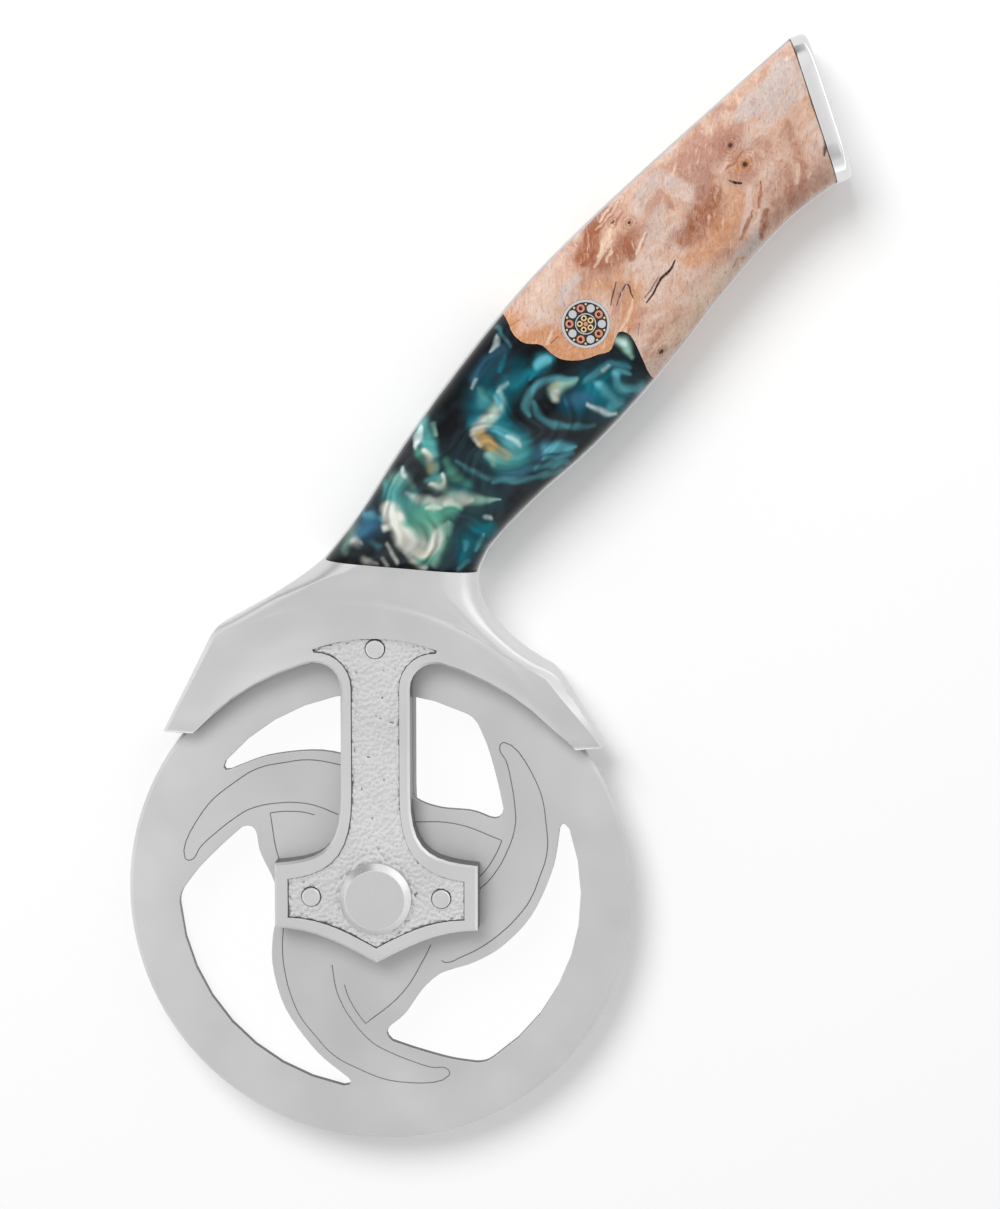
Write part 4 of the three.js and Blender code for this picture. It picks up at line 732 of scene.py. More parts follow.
# Figure of the burl from the lowest to the topmost, as in the resin
BURL_FIGURE = (
    ("amber", 0.95, 0.3, ((50, 16.5, 3.2), (53, 8, 5), (55, 3, 5), (60, 0, 4))),
    ("amber", 0.55, 0.1, ((60, 12, 5), (66, 9, 5), (72, 7, 4))),
    ("amber", 0.75, 0.1, ((65, -1, 2.4), (68, 1, 2.6), (72, 3, 2))),
    ("pale", 0.7, 0.1, ((51.5, 14, 1.8), (54.5, 12.4, 2.6), (57, 12, 2), (60, 15, 2.4))),
    ("pale", 0.55, 0.1, ((53, 17.6, 1.2), (60, 17.4, 1.8), (67, 17, 1.8))),
    ("ash", 0.95, 0.3, ((60.4, 11.6, 1.5), (63, 12.6, 1.9), (65.8, 12.2, 1.1))),
    ("ash", 0.6, 0.1, ((61, 9.4, 0.8), (63.4, 10.6, 1))),
    ("rose", 0.75, 0.2, ((66, 10.6, 1.6), (68.5, 11.4, 2.2), (70, 9, 2))),
    ("brown", 1.0, 0.4, ((68.8, 13.8, 2.1), (71.5, 14.6, 2.9), (75, 16.4, 2.3), (79, 16.6, 1.3))),
    ("brown", 0.8, 0.2, ((70, 11.6, 2.6), (73, 9.8, 3), (76.4, 9, 3.2), (78.6, 10, 2.2))),
    ("brown", 0.65, 0.2, ((75, 6.8, 0.8), (76.6, 8.6, 1.8), (77.4, 11, 1.6))),
    ("tan", 0.85, 0.2, ((75.6, 14.3, 1), (78, 14.3, 1.4), (80.6, 14.3, 1.1))),
    ("tan", 0.85, 0.3, ((78.6, 11.9, 1.6), (80.4, 12, 1.9), (81.6, 12, 1.4))),
    ("brown", 0.75, 0.1, ((76.2, 13.2, 0.35), (78.4, 13.4, 0.5), (80.6, 13.9, 0.4))),
    ("bisque", 0.85, 0.2, ((71.3, 12.1, 0.5), (74, 12.8, 0.9), (77.4, 13.6, 0.5))),
    ("bisque", 0.7, 0.15, ((69.3, 11.2, 0.4), (72, 11.7, 0.6), (75.4, 11.9, 0.5))),
    ("bisque", 0.75, 0.1, ((71.8, 10.3, 0.4), (73.8, 10.9, 0.4))),
    ("bisque", 0.75, 0.1, ((76.6, 16.2, 0.4), (80, 16.7, 0.45), (81.2, 16.3, 0.3))),
    ("bisque", 0.5, 0.1, ((74.8, 15.6, 0.3), (78, 15.5, 0.4), (80.8, 16, 0.3))),
    ("brown", 0.6, 0.1, ((74.8, 15.1, 0.3), (79, 15.1, 0.3))),
    ("ash", 0.6, 0.2, ((79.8, 7, 1.6), (82.4, 7.4, 2.3), (85.4, 9, 2.2))),
    ("bisque", 0.9, 0.2, ((76.3, 7, 0.35), (78, 7.4, 0.5), (80.6, 8, 0.3))),
    ("brown", 0.6, 0.1, ((78.4, 7, 0.35), (80.6, 7.7, 0.3))),
    ("pale", 0.85, 0.15, ((74, 5.2, 0.8), (75.6, 5.5, 1.1), (77.4, 5.2, 0.8))),
    ("pale", 0.7, 0.1, ((71.9, 5.4, 0.7), (73.8, 6.1, 0.8))),
    ("bisque", 0.6, 0.1, ((71.4, 2.7, 0.5), (72.6, 3.4, 0.8), (74, 4.1, 0.5))),
    ("ash", 0.72, 0.3, ((83, 12, 1.8), (86, 13.6, 2.8), (90, 13.4, 2.9), (91.4, 10.6, 2))),
    ("tan", 0.7, 0.1, ((86, 12.4, 0.5), (87.4, 12.6, 0.5))),
    ("tan", 0.6, 0.1, ((89.2, 11.2, 0.4), (90.2, 12.2, 0.5))),
    ("tan", 0.6, 0.1, ((79, 3.4, 0.9), (80.6, 4.4, 1.2))),
    ("rose", 0.65, 0.1, ((81.6, 3.2, 1.2), (84, 4, 1.6))),
    ("amber", 0.7, 0.2, ((83, -2, 3.4), (90, -2.4, 4.6), (97, -0.6, 3.6))),
    ("brown", 0.9, 0.2, ((85, 1.8, 3.2), (89.6, 2, 4.8), (92.4, 2.4, 4.2), (95.4, 3.8, 2.4))),
    ("brown", 0.65, 0.2, ((92.6, 5.4, 1.8), (95.2, 6.4, 2.2), (97.2, 6, 1.4))),
    ("rose", 0.95, 0.55, ((95.4, 12, 2.6), (95.8, 9, 3.6), (98.6, 9.6, 4), (101, 9.4, 3.6))),
    ("rose", 0.75, 0.2, ((97, 13.8, 1.6), (100, 13, 2.2))),
    ("rose", 0.8, 0.2, ((101, 8, 3.4), (105, 8.4, 3.4), (107.6, 9, 2))),
    ("pale", 0.5, 0.1, ((103, 12.6, 1.6), (107, 12.4, 1.8), (109, 9.6, 1.6))),
    ("ash", 0.95, 0.4, ((109.4, 9.6, 2), (112, 9.6, 3.2), (116, 8.4, 3.6), (121.6, 9.4, 3.4))),
    ("ash", 0.75, 0.2, ((112, 5.4, 1.4), (117, 4.8, 2.2), (122.6, 5.6, 2.4))),
    ("tan", 0.6, 0.2, ((110, 13, 1), (115, 12.9, 1.2), (118.6, 11.8, 1.2))),
    ("rose", 0.6, 0.2, ((116.6, 11.2, 0.8), (118.4, 12, 1), (119.8, 12.2, 0.5))),
    ("rose", 0.55, 0.1, ((104.4, 5, 1.6), (107.4, 4, 1.8), (109, 1.6, 1.6))),
    ("amber", 0.9, 0.2, ((101.4, 3.4, 1.4), (102.8, 2.9, 1.7), (104, 2.6, 1))),
    ("brown", 0.8, 0.1, ((100.2, 4.9, 0.35), (102, 4.6, 0.5), (104.4, 4.9, 0.35))),
    ("bisque", 0.6, 0.1, ((98.8, 5.2, 0.4), (101.2, 5.4, 0.4))),
    ("pale", 0.5, 0.1, ((99, -0.2, 0.8), (102, -0.4, 1), (105, -1, 0.8))),
    ("rose", 0.5, 0.2, ((99, -7.6, 2.4), (104, -7, 3), (109, -9.4, 3), (113, -8, 2.6))),
    ("rose", 0.6, 0.1, ((101, -4, 2), (106, -3.4, 2.4))),
    ("ash", 0.85, 0.25, ((84, -8.4, 2), (90, -8.2, 2.1), (94.4, -8.6, 1.9))),
    ("bisque", 0.75, 0.1, ((66, -8.4, 2.2), (72, -9, 2.6), (80, -8.4, 2.8), (86, -8, 2.2))),
    ("rose", 0.3, 0.1, ((79, -4.8, 1.4), (84, -5.2, 1.8), (90, -6, 1.4))),
    ("pale", 0.9, 0.3, ((92.8, -5.7, 0.7), (95.2, -4.5, 1), (98, -2.6, 1.1), (100.4, -0.6, 0.8))),
    ("brown", 0.9, 0.2, ((92, -6.2, 0.4), (94.2, -5.8, 0.6), (97.2, -4.2, 0.4))),
    ("brown", 0.8, 0.25, ((95, -8.9, 0.8), (97, -7.4, 1), (98.8, -6, 0.7))),
    ("tan", 0.8, 0.2, ((97, -6, 0.8), (99.6, -4, 1), (103, -1.8, 0.8))),
    ("brown", 0.9, 0.2, ((97.4, -5.4, 0.35), (100, -3.5, 0.5), (102.6, -1.6, 0.3))),
    ("bisque", 0.85, 0.2, ((95.4, -6.3, 0.35), (97, -5.9, 0.5), (98.4, -4.8, 0.35))),
    ("amber", 0.9, 0.2, ((87.3, -8.8, 0.4), (88.8, -8.4, 0.5), (90.2, -9, 0.4))),
    ("brown", 0.5, 0.05, ((102.6, -9.4, 1.2), (105.6, -6.4, 1.8), (108.4, -3.4, 1.2))),
    ("mauve", 0.3, 0.2, ((110, -8.6, 1.8), (112.4, -8, 1.8), (114.6, -4.6, 1.4))),
    ("brown", 0.5, 0.05, ((106.6, -8, 0.9), (109, -6.8, 1.3), (111.2, -3.6, 1.8), (113, 0, 1.7),
                          (114.4, 2.4, 1.2))),
    ("bisque", 0.6, 0.15, ((107, -6.8, 0.6), (108.4, -5.8, 0.9), (110, -4.6, 0.6))),
    ("bisque", 0.7, 0.1, ((109.3, -7.8, 0.35), (110.1, -7.5, 0.35))),
    ("tan", 0.6, 0.1, ((110, 2.8, 0.3), (113, 3.5, 0.4), (117, 4.1, 0.4), (120.4, 4.6, 0.3))),
    ("tan", 0.7, 0.1, ((111, 5, 0.3), (115, 5.5, 0.5), (119.4, 6.2, 0.3))),
    ("pale", 0.6, 0.1, ((63, -4.4, 1.4), (66.4, -3.8, 1.8), (70, -3.6, 1.4))),
    ("bisque", 0.7, 0.1, ((63.6, -0.9, 0.5), (66.4, 0, 0.55), (70, 1.7, 0.35))),
    ("bisque", 0.7, 0.1, ((65.3, -1.2, 0.4), (63.2, -2.6, 0.4))),
    ("rose", 0.65, 0.1, ((62.6, -7.4, 0.6), (65.6, -6.7, 0.9), (69.4, -6.2, 0.6))),
    ("rose", 0.5, 0.1, ((63.4, -8.4, 0.4), (66.4, -7.7, 0.5), (68, -8, 0.3))),
    ("pale", 0.6, 0.1, ((60.4, -10.6, 0.8), (63.4, -9.6, 1))),
    ("bisque", 0.75, 0.1, ((51.8, 7.9, 0.3), (53, 8.4, 0.5), (55, 8.8, 0.35))),
    ("crack", 1.0, 0.3, ((71, -0.8, 0.2), (73, -0.6, 0.28), (74.6, -0.2, 0.28), (76.4, 0.2, 0.42),
                         (78, 0, 0.42),
                         (79.4, 0.1, 0.36), (80.6, 0.5, 0.16))),
    ("crack", 0.75, 0.1, ((71.4, 0.1, 0.18), (73.2, 0.2, 0.24), (75, 0.5, 0.24), (76.2, 0.8, 0.14))),
    ("crack", 0.9, 0.15, ((66, 4, 0.15), (68, 5.1, 0.29), (70, 6.1, 0.17))),
    ("crack", 0.9, 0.15, ((66.8, 3.1, 0.15), (69, 4.1, 0.26), (70.8, 4.4, 0.31), (71, 3.7, 0.29),
                          (70.2, 2.5, 0.24),
                          (69.9, 1.4, 0.17))),
    ("crack", 1.0, 0.4, ((98.8, 2.9, 0.28), (99.2, 1.9, 0.38), (99.9, 1, 0.3))),
    ("crack", 0.7, 0.1, ((52.8, 7.6, 0.18), (54.6, 7.5, 0.18))),
    ("crack", 0.5, 0.1, ((65.2, -3.9, 0.16), (67.2, -2.4, 0.16))),
    ("crack", 0.85, 0.15, ((114.4, -7.2, 0.4), (115.4, -6.5, 0.8), (116.6, -5.6, 0.6))),
    ("crack", 0.65, 0.1, ((79.4, 16.5, 0.16), (80.9, 16.6, 0.18))),
    ("crack", 0.4, 0.1, ((49.4, 16, 0.22), (52, 15.2, 0.18))),
    ("crack", 0.35, 0.1, ((82, 0.8, 0.16), (84.4, 1.3, 0.12))),
    ("crack", 0.5, 0.1, ((63.6, -2.5, 0.2), (65.2, -1.8, 0.16))),
    ("crack", 0.4, 0.1, ((52.4, 9.2, 0.18), (53.4, 10.2, 0.12))),
    ("crack", 0.75, 0.4, ((113.4, -10.7, 0.2), (119.4, 0.1, 0.2), (126.4, 12.6, 0.2))),
)

# Eyes of the burl: along, across, half width of the dark heart, reach of the rings, and how far they are
# drawn out along the handle
BURL_EYES = (
    (78.0, 14.3, 0.36, 1.4, 1.6), (80.1, 11.9, 0.46, 2.2, 1.1), (103.7, 7.4, 0.56, 3.2, 1.15),
    (103.0, 2.9, 0.58, 3.3, 1.2), (65.9, -9.2, 0.46, 1.3, 1.7),
)
# Spacing of the rings round an eye, and how far they and its heart wander, in millimetres
RING_SPACING = 0.66
RING_WANDER = 1.6
HEART_WANDER = 1.2
# Way of the burl's streaks against the handle
STREAK_ANGLE = math.radians(42.0)
# How far a swirl of resin fades out past its half width
RESIN_SPREAD = 2.25
# How much the swirls gather towards their middle line
RESIN_SILK = 1.75


def resin_finish(settings, group):
    """Cast resin: swirls of colour drawn through a dark ground, under a deep gloss."""
    material, tree, shader = new_finish("cast_resin")
    place = handle_place(tree)
    warped = warped_place(tree, place, wide=1.6, fine=0.9, wide_scale=0.14, fine_scale=0.4, detail=0.0)
    ground = noise(tree, warped, scale=0.16, detail=1.0, distortion=1.2).outputs[0]
    share = remap(tree, ground, 0.42, 0.7, 0.0, 1.0)
    colour = mix_colours(tree, share, settings.slate, settings.ink)
    stirred = stirred_place(tree, warped, RESIN_WHORLS)
    combed = stretched(tree, stirred, (0.14, 0.56, 1.0))
    threads = noise(tree, combed, scale=1.0, detail=0.0).outputs[0]
    smoke = remap(tree, threads, 0.5, 0.7, 0.0, 0.5, smooth=True)
    colour = mix_colours(tree, smoke, colour, settings.murk)
    broken = remap(tree, threads, 0.32, 0.6, 0.62, 1.12)
    folded = stretched(tree, stirred, (0.11, 0.42, 1.0))
    folds = noise(tree, folded, scale=1.0, detail=0.0).outputs[0]
    for name, strength, core, points in RESIN_SWIRLS:
        cover = lay_stroke(tree, group, warped, core, points, RESIN_SPREAD)
        cover = compute(tree, 'POWER', cover, RESIN_SILK)
        cover = compute(tree, 'MULTIPLY', cover, strength)
        cover = compute(tree, 'MULTIPLY', cover, broken)
        colour = mix_colours(tree, cover, colour, getattr(settings, name))
    colour = scaled(tree, colour, remap(tree, folds, 0.36, 0.6, 0.74, 1.16))
    set_input(tree, shader.inputs["Base Color"], colour)
    set_input(tree, shader.inputs["Roughness"], remap(tree, threads, *NOISE_SPAN, *RESIN_ROUGHNESS))
    shader.inputs["Specular IOR Level"].default_value = RESIN_SPECULAR
    return material


def burl_finish(settings, group):
    """Burl wood: clouds of colour, curls, cracks and ringed eyes, under a satin varnish."""
    material, tree, shader = new_finish("burl_wood")
    place = handle_place(tree)
    warped = warped_place(tree, place, wide=1.2, fine=1.5, detail=4.0)
    steady = warped_place(tree, place, wide=0.4, fine=0.3)
    clouds = noise(tree, warped, scale=0.12, detail=5.0, roughness=0.62, distortion=0.9).outputs[0]
    mottle = noise(tree, warped, scale=0.5, detail=5.0, roughness=0.68, distortion=1.4).outputs[0]
    fibres = noise(tree, stretched(tree, warped, (0.45, 2.4, 1.0)), scale=1.0, detail=4.0).outputs[0]
    share = remap(tree, clouds, 0.4, 0.54, 0.0, 1.0, smooth=True)
    colour = mix_colours(tree, share, settings.pale, settings.tan)
    rosy = compute(tree, 'MULTIPLY', remap(tree, clouds, 0.53, 0.63, 0.0, 1.0, smooth=True), 0.75)
    colour = mix_colours(tree, rosy, colour, settings.rose)
    turn_inputs = {"Vector": warped, "Angle": -STREAK_ANGLE}
    turned = add_node(tree, "ShaderNodeVectorRotate", turn_inputs, rotation_type='Z_AXIS').outputs[0]
    streaked = stretched(tree, turned, (0.24, 1.3, 1.0))
    streaks = noise(tree, streaked, scale=1.0, detail=4.0, roughness=0.62, distortion=0.6).outputs[0]
    ticked = stretched(tree, turned, (0.7, 4.0, 1.0))
    ticks = noise(tree, ticked, scale=1.0, detail=3.0, roughness=0.6).outputs[0]
    flecks = remap(tree, ticks, 0.55, 0.68, 0.0, 0.55, smooth=True)
    specks = noise(tree, warped, scale=2.0, detail=4.0, roughness=0.7).outputs[0]
    mottled = remap(tree, mottle, 0.34, 0.6, 0.74, 1.1)
    broken = compute(tree, 'MULTIPLY', mottled, remap(tree, ticks, 0.34, 0.56, 0.78, 1.05))
    for name, strength, core, points in BURL_FIGURE:
        cracked = name == "crack"
        cover = lay_stroke(tree, group, steady if cracked else warped, core, points)
        cover = compute(tree, 'MULTIPLY', cover, strength)
        if not cracked:
            cover = compute(tree, 'MULTIPLY', cover, broken)
        colour = mix_colours(tree, cover, colour, getattr(settings, name))
    bright = remap(tree, streaks, 0.55, 0.69, 0.0, 0.6, smooth=True)
    gathered = compute(tree, 'MULTIPLY', bright, remap(tree, clouds, 0.42, 0.6, 0.2, 1.0))
    colour = mix_colours(tree, gathered, colour, settings.bisque)
    dusky = remap(tree, streaks, 0.44, 0.32, 0.0, 0.45, smooth=True)
    colour = mix_colours(tree, dusky, colour, settings.rose)
    for along, across, heart, reach, drawn_out in BURL_EYES:
        offset = vector_compute(tree, 'SUBTRACT', steady, (along, across, 0.0)).outputs[0]
        offset = stretched(tree, offset, (1.0 / drawn_out, 1.0, 1.0))
        gap = vector_compute(tree, 'LENGTH', offset).outputs["Value"]
        wavy = compute(tree, 'MULTIPLY_ADD', mottle, RING_WANDER, gap)
        waves = compute(tree, 'SINE', compute(tree, 'MULTIPLY', wavy, 2.0 * math.pi / RING_SPACING))
        rings = compute(tree, 'MULTIPLY', remap(tree, waves, -0.2, 1.0, 0.25, 1.0), broken)
        fading = remap(tree, gap, heart, reach, 0.78, 0.0)
        colour = mix_colours(tree, compute(tree, 'MULTIPLY', rings, fading), colour, settings.brown)
        uneven = compute(tree, 'MULTIPLY_ADD', compute(tree, 'SUBTRACT', mottle, 0.5), HEART_WANDER, gap)
        core = remap(tree, uneven, heart * 0.5, heart * 1.15, 0.92, 0.0, smooth=True)
        colour = mix_colours(tree, core, colour, settings.crack)
    colour = mix_colours(tree, flecks, colour, settings.brown)
    light_grain = remap(tree, fibres, *NOISE_SPAN, 0.93, 1.05)
    light_mottle = remap(tree, mottle, *NOISE_SPAN, 1.08, 0.9)
    light_specks = remap(tree, specks, 0.32, 0.68, 0.92, 1.07)
    tone = compute(tree, 'MULTIPLY', compute(tree, 'MULTIPLY', light_grain, light_mottle), light_specks)
    colour = vector_compute(tree, 'MULTIPLY', colour, tone).outputs[0]
    set_input(tree, shader.inputs["Base Color"], colour)
    set_input(tree, shader.inputs["Roughness"], remap(tree, mottle, *NOISE_SPAN, *BURL_ROUGHNESS))
    shader.inputs["Specular IOR Level"].default_value = BURL_SPECULAR
    roughen(tree, shader, fibres, distance=0.01 * MM, strength=0.35)
    return material


# Operators


class PIZZAWHEEL_OT_cutting_wheel(bpy.types.Operator):
    """Finish the cutting wheel: soft cut edges and the engraved lines of the three horns, with painted shade
    on the walls of the cut-outs and in the grooves
    """
    bl_idname = "pizzawheel.cutting_wheel"
    bl_label = "Cutting wheel"

    # The cut-outs lie nearer to the axle than this
    HORN_REACH = 43.0 * MM
    CUT_ANGLE = 60.0
    # A face whose normal rises less than this is a wall
    WALL_RISE = 0.2
    WALL_ROUGHNESS = 0.4
    # Slot of the darker steel that paints shade on the walls
    SHADED_WALL_SLOT = 1

    def engraved_line(self, points, turn, height, corner, depth):
        """Lay one engraved line as a thin round wire that will cut the face."""
        curve = bpy.data.curves.new("engraver", 'CURVE')
        curve.dimensions = '3D'
        curve.twist_mode = 'Z_UP'
        curve.bevel_depth = depth
        curve.bevel_resolution = 0
        curve.resolution_u = 5
        curve.use_fill_caps = True
        spline = curve.splines.new('BEZIER')
        spline.bezier_points.add(len(points) - 1)
        for number, (radius, degrees) in enumerate(points):
            angle = math.radians(degrees + turn)
            reach = Vector((math.cos(angle), math.sin(angle), 0.0)) * radius * MM
            point = spline.bezier_points[number]
            point.co = Vector((AXLE.x, AXLE.y, height)) + reach
            kind = 'VECTOR' if number == corner else 'AUTO'
            point.handle_left_type = kind
            point.handle_right_type = kind
        wire = bpy.data.objects.new("engraver", curve)
        bpy.context.scene.collection.objects.link(wire)
        return wire

    def execute(self, context):
        settings = context.scene.pizza_wheel.steel
        disc = merged_copy("wheel_blade", "cutting_disc")

        def horn_edge(edge):
            flat = abs(edge.verts[0].co.z - edge.verts[1].co.z) < WELD_DISTANCE
            near = axle_distance(middle_of(edge)) < self.HORN_REACH
            return flat and near and is_sharp(edge, self.CUT_ANGLE)

        soften_edges(disc, settings.soft_edge, horn_edge)
        wires = []
        for turn in HORN_TURNS:
            for height in (BLADE_HIGH.z, BLADE_LOW.z):
                wires.append(self.engraved_line(HORN_LINE, turn, height, None, settings.groove))
                wires.append(self.engraved_line(CORNER_LINE, turn, height, CORNER_PLACE, settings.groove))
        take_up(wires[0])
        for wire in wires:
            wire.select_set(True)
        bpy.ops.object.convert(target='MESH')
        bpy.ops.object.join()
        cutter = context.object
        cut_wall_shade = dull_finish("cut_wall_shade", settings.cut_wall_shade, self.WALL_ROUGHNESS, STEEL_METAL)
        set_finish(disc, blade_finish(settings), cut_wall_shade)
        # Painted shade: the faces that the wires cut take the darker engraved steel
        engraved = dull_finish("groove_shade_steel", settings.engraved, self.WALL_ROUGHNESS, STEEL_METAL)
        set_finish(cutter, engraved)
        apply_modifier(
            disc, 'BOOLEAN', object=cutter, operation='DIFFERENCE', solver='EXACT', use_self=True,
            material_mode='TRANSFER',
        )
        bpy.data.objects.remove(cutter)
        shade(disc)
        # Painted shade: the steep walls of the cut-outs and of the grooves take the darker cut-wall steel
        for face in disc.data.polygons:
            if axle_distance(face.center) < self.HORN_REACH and abs(face.normal.z) < self.WALL_RISE:
                face.material_index = self.SHADED_WALL_SLOT
        settle(disc, "wheel", ("wheel_blade",))
        return {'FINISHED'}


class PIZZAWHEEL_OT_fork(bpy.types.Operator):
    """Finish the fork frame: satin steel, painted highlights on the arms' rims, painted shade in the panels'
    recesses and on the arms' walls, soft edges on the panels and the tang
    """
    bl_idname = "pizzawheel.fork"
    bl_label = "Fork frame"

    # Heights of the arms' outer faces and of the tang's faces
    ARM_FRONT = 15.7 * MM
    ARM_REAR = 2.7 * MM
    TANG_FACES = (10.7 * MM, 7.7 * MM)
    TANG_EDGE = 0.34 * MM
    # The panels' walls and the arms' bright rims lie outside these heights and this near to the axle
    WALLS_ABOVE = 14.7 * MM
    WALLS_BELOW = 3.7 * MM
    PANEL_REACH = 54.0 * MM
    RIMS_ABOVE = 12.8 * MM
    RIMS_BELOW = 5.6 * MM
    RIM_REACH = 56.0 * MM
    # A face whose normal rises less than the first is a wall, and one that rises more than the second a face
    WALL_RISE = 0.3
    FACE_RISE = 0.7
    RIM_ANGLE = 50.0
    CUT_ANGLE = 60.0
    RECESS_ROUGHNESS = 0.45
    WALL_ROUGHNESS = 0.4
    RIM_ROUGHNESS = 0.22
    RECESS_SHADE_SLOT = 1
    # Slot of the darker steel that paints shade on the walls
    SHADED_WALL_SLOT = 2
    RIM_HIGHLIGHT_SLOT = 3
    # Band of the crown that is smoothed: distance from the axle and from the arm's centre line
    CROWN_BAND = (53.2 * MM, 56.0 * MM, 62.0 * MM, 67.0 * MM)
    CROWN_SIDE = (24.0 * MM, 32.0 * MM)
    CROWN_ROUNDS = 120
    # Edges of the crown that turn more than this stay where they are
    CROWN_CREASE = 12.0

    def smooth_crown(self, fork):
        """Let the crown over the arms run out without a crease."""
        group = fork.vertex_groups.new(name="crown")
        start, full, past, end = self.CROWN_BAND
        near, far = self.CROWN_SIDE
        shape = bmesh.new()
        shape.from_mesh(fork.data)
        creases = [edge for edge in shape.edges if is_sharp(edge, self.CROWN_CREASE)]
        pinned = {vert.index for edge in creases for vert in edge.verts}
        shape.free()
        for vert in fork.data.vertices:
            if vert.index in pinned:
                continue
            reach = axle_distance(vert.co)
            side = abs(vert.co.x - AXLE.x)
            if not start < reach < end or side > far or self.ARM_REAR < vert.co.z < self.ARM_FRONT:
                continue
            weight = min((reach - start) / (full - start), (end - reach) / (end - past), 1.0)
            group.add([vert.index], weight * min((far - side) / (far - near), 1.0), 'REPLACE')
        apply_modifier(
            fork, 'SMOOTH', vertex_group="crown", use_x=False, use_y=False, factor=0.5,
            iterations=self.CROWN_ROUNDS,
        )
        fork.vertex_groups.remove(fork.vertex_groups["crown"])

    def execute(self, context):
        settings = context.scene.pizza_wheel.steel
        fork = merged_copy("fork_frame", "fork_body")
        self.smooth_crown(fork)

        def is_rim(edge):
            height = middle_of(edge).z
            outer = height > self.RIMS_ABOVE or height < self.RIMS_BELOW
            near = axle_distance(middle_of(edge)) < self.RIM_REACH
            low, high = sorted(abs(face.normal.z) for face in edge.link_faces)
            corner = low < self.WALL_RISE and high > self.FACE_RISE
            return outer and near and corner and edge.is_convex and is_sharp(edge, self.RIM_ANGLE)

        def by_panel(height):
            return height > self.WALLS_ABOVE or height < self.WALLS_BELOW

        def borders_panel(edge):
            wall = min(edge.link_faces, key=lambda face: abs(face.normal.z))
            return by_panel(wall.calc_center_median().z)

        def panel_edge(edge):
            level = is_level(edge, self.ARM_FRONT, self.ARM_REAR)
            return level and borders_panel(edge) and is_sharp(edge, self.CUT_ANGLE)

        def outline_edge(edge):
            return is_rim(edge) and not borders_panel(edge)

        def tang_edge(edge):
            beyond = axle_distance(middle_of(edge)) > self.PANEL_REACH
            level = is_level(edge, *self.TANG_FACES)
            return level and beyond and edge.is_convex and is_sharp(edge, self.CUT_ANGLE)

        set_finish(
            fork, satin_finish("satin_steel", settings.steel, settings.roughness),
            dull_finish("recess_shade_steel", settings.recess_shade, self.RECESS_ROUGHNESS, STEEL_METAL),
            dull_finish("arm_wall_shade_steel", settings.arm_wall_shade, self.WALL_ROUGHNESS, STEEL_METAL),
            polished_finish("rim_highlight_steel", settings.rim, self.RIM_ROUGHNESS),
        )
        soften_edges(fork, settings.soft_edge, panel_edge)
        # Painted highlight: the rounded outline of the arms takes the bright rim steel
        soften_edges(fork, settings.rim_width, outline_edge, material=self.RIM_HIGHLIGHT_SLOT)
        soften_edges(fork, self.TANG_EDGE, tang_edge)
        shade(fork)
        # Painted shade: the panels' floors and walls take the darker steel of the recesses, and the other
        # steep faces near the axle the darker arm-wall steel
        for face in fork.data.polygons:
            if face.material_index == self.RIM_HIGHLIGHT_SLOT:
                continue
            height = face.center.z
            steep = abs(face.normal.z) < self.WALL_RISE
            inside = axle_distance(face.center) < self.PANEL_REACH
            floor = not steep and min(abs(height - level) for level in PANEL_FLOORS) < LEVEL_TOLERANCE
            if floor or (steep and inside and by_panel(height)):
                face.material_index = self.RECESS_SHADE_SLOT
            elif steep and inside:
                face.material_index = self.SHADED_WALL_SLOT
        settle(fork, "frame", ("fork_frame",))
        return {'FINISHED'}


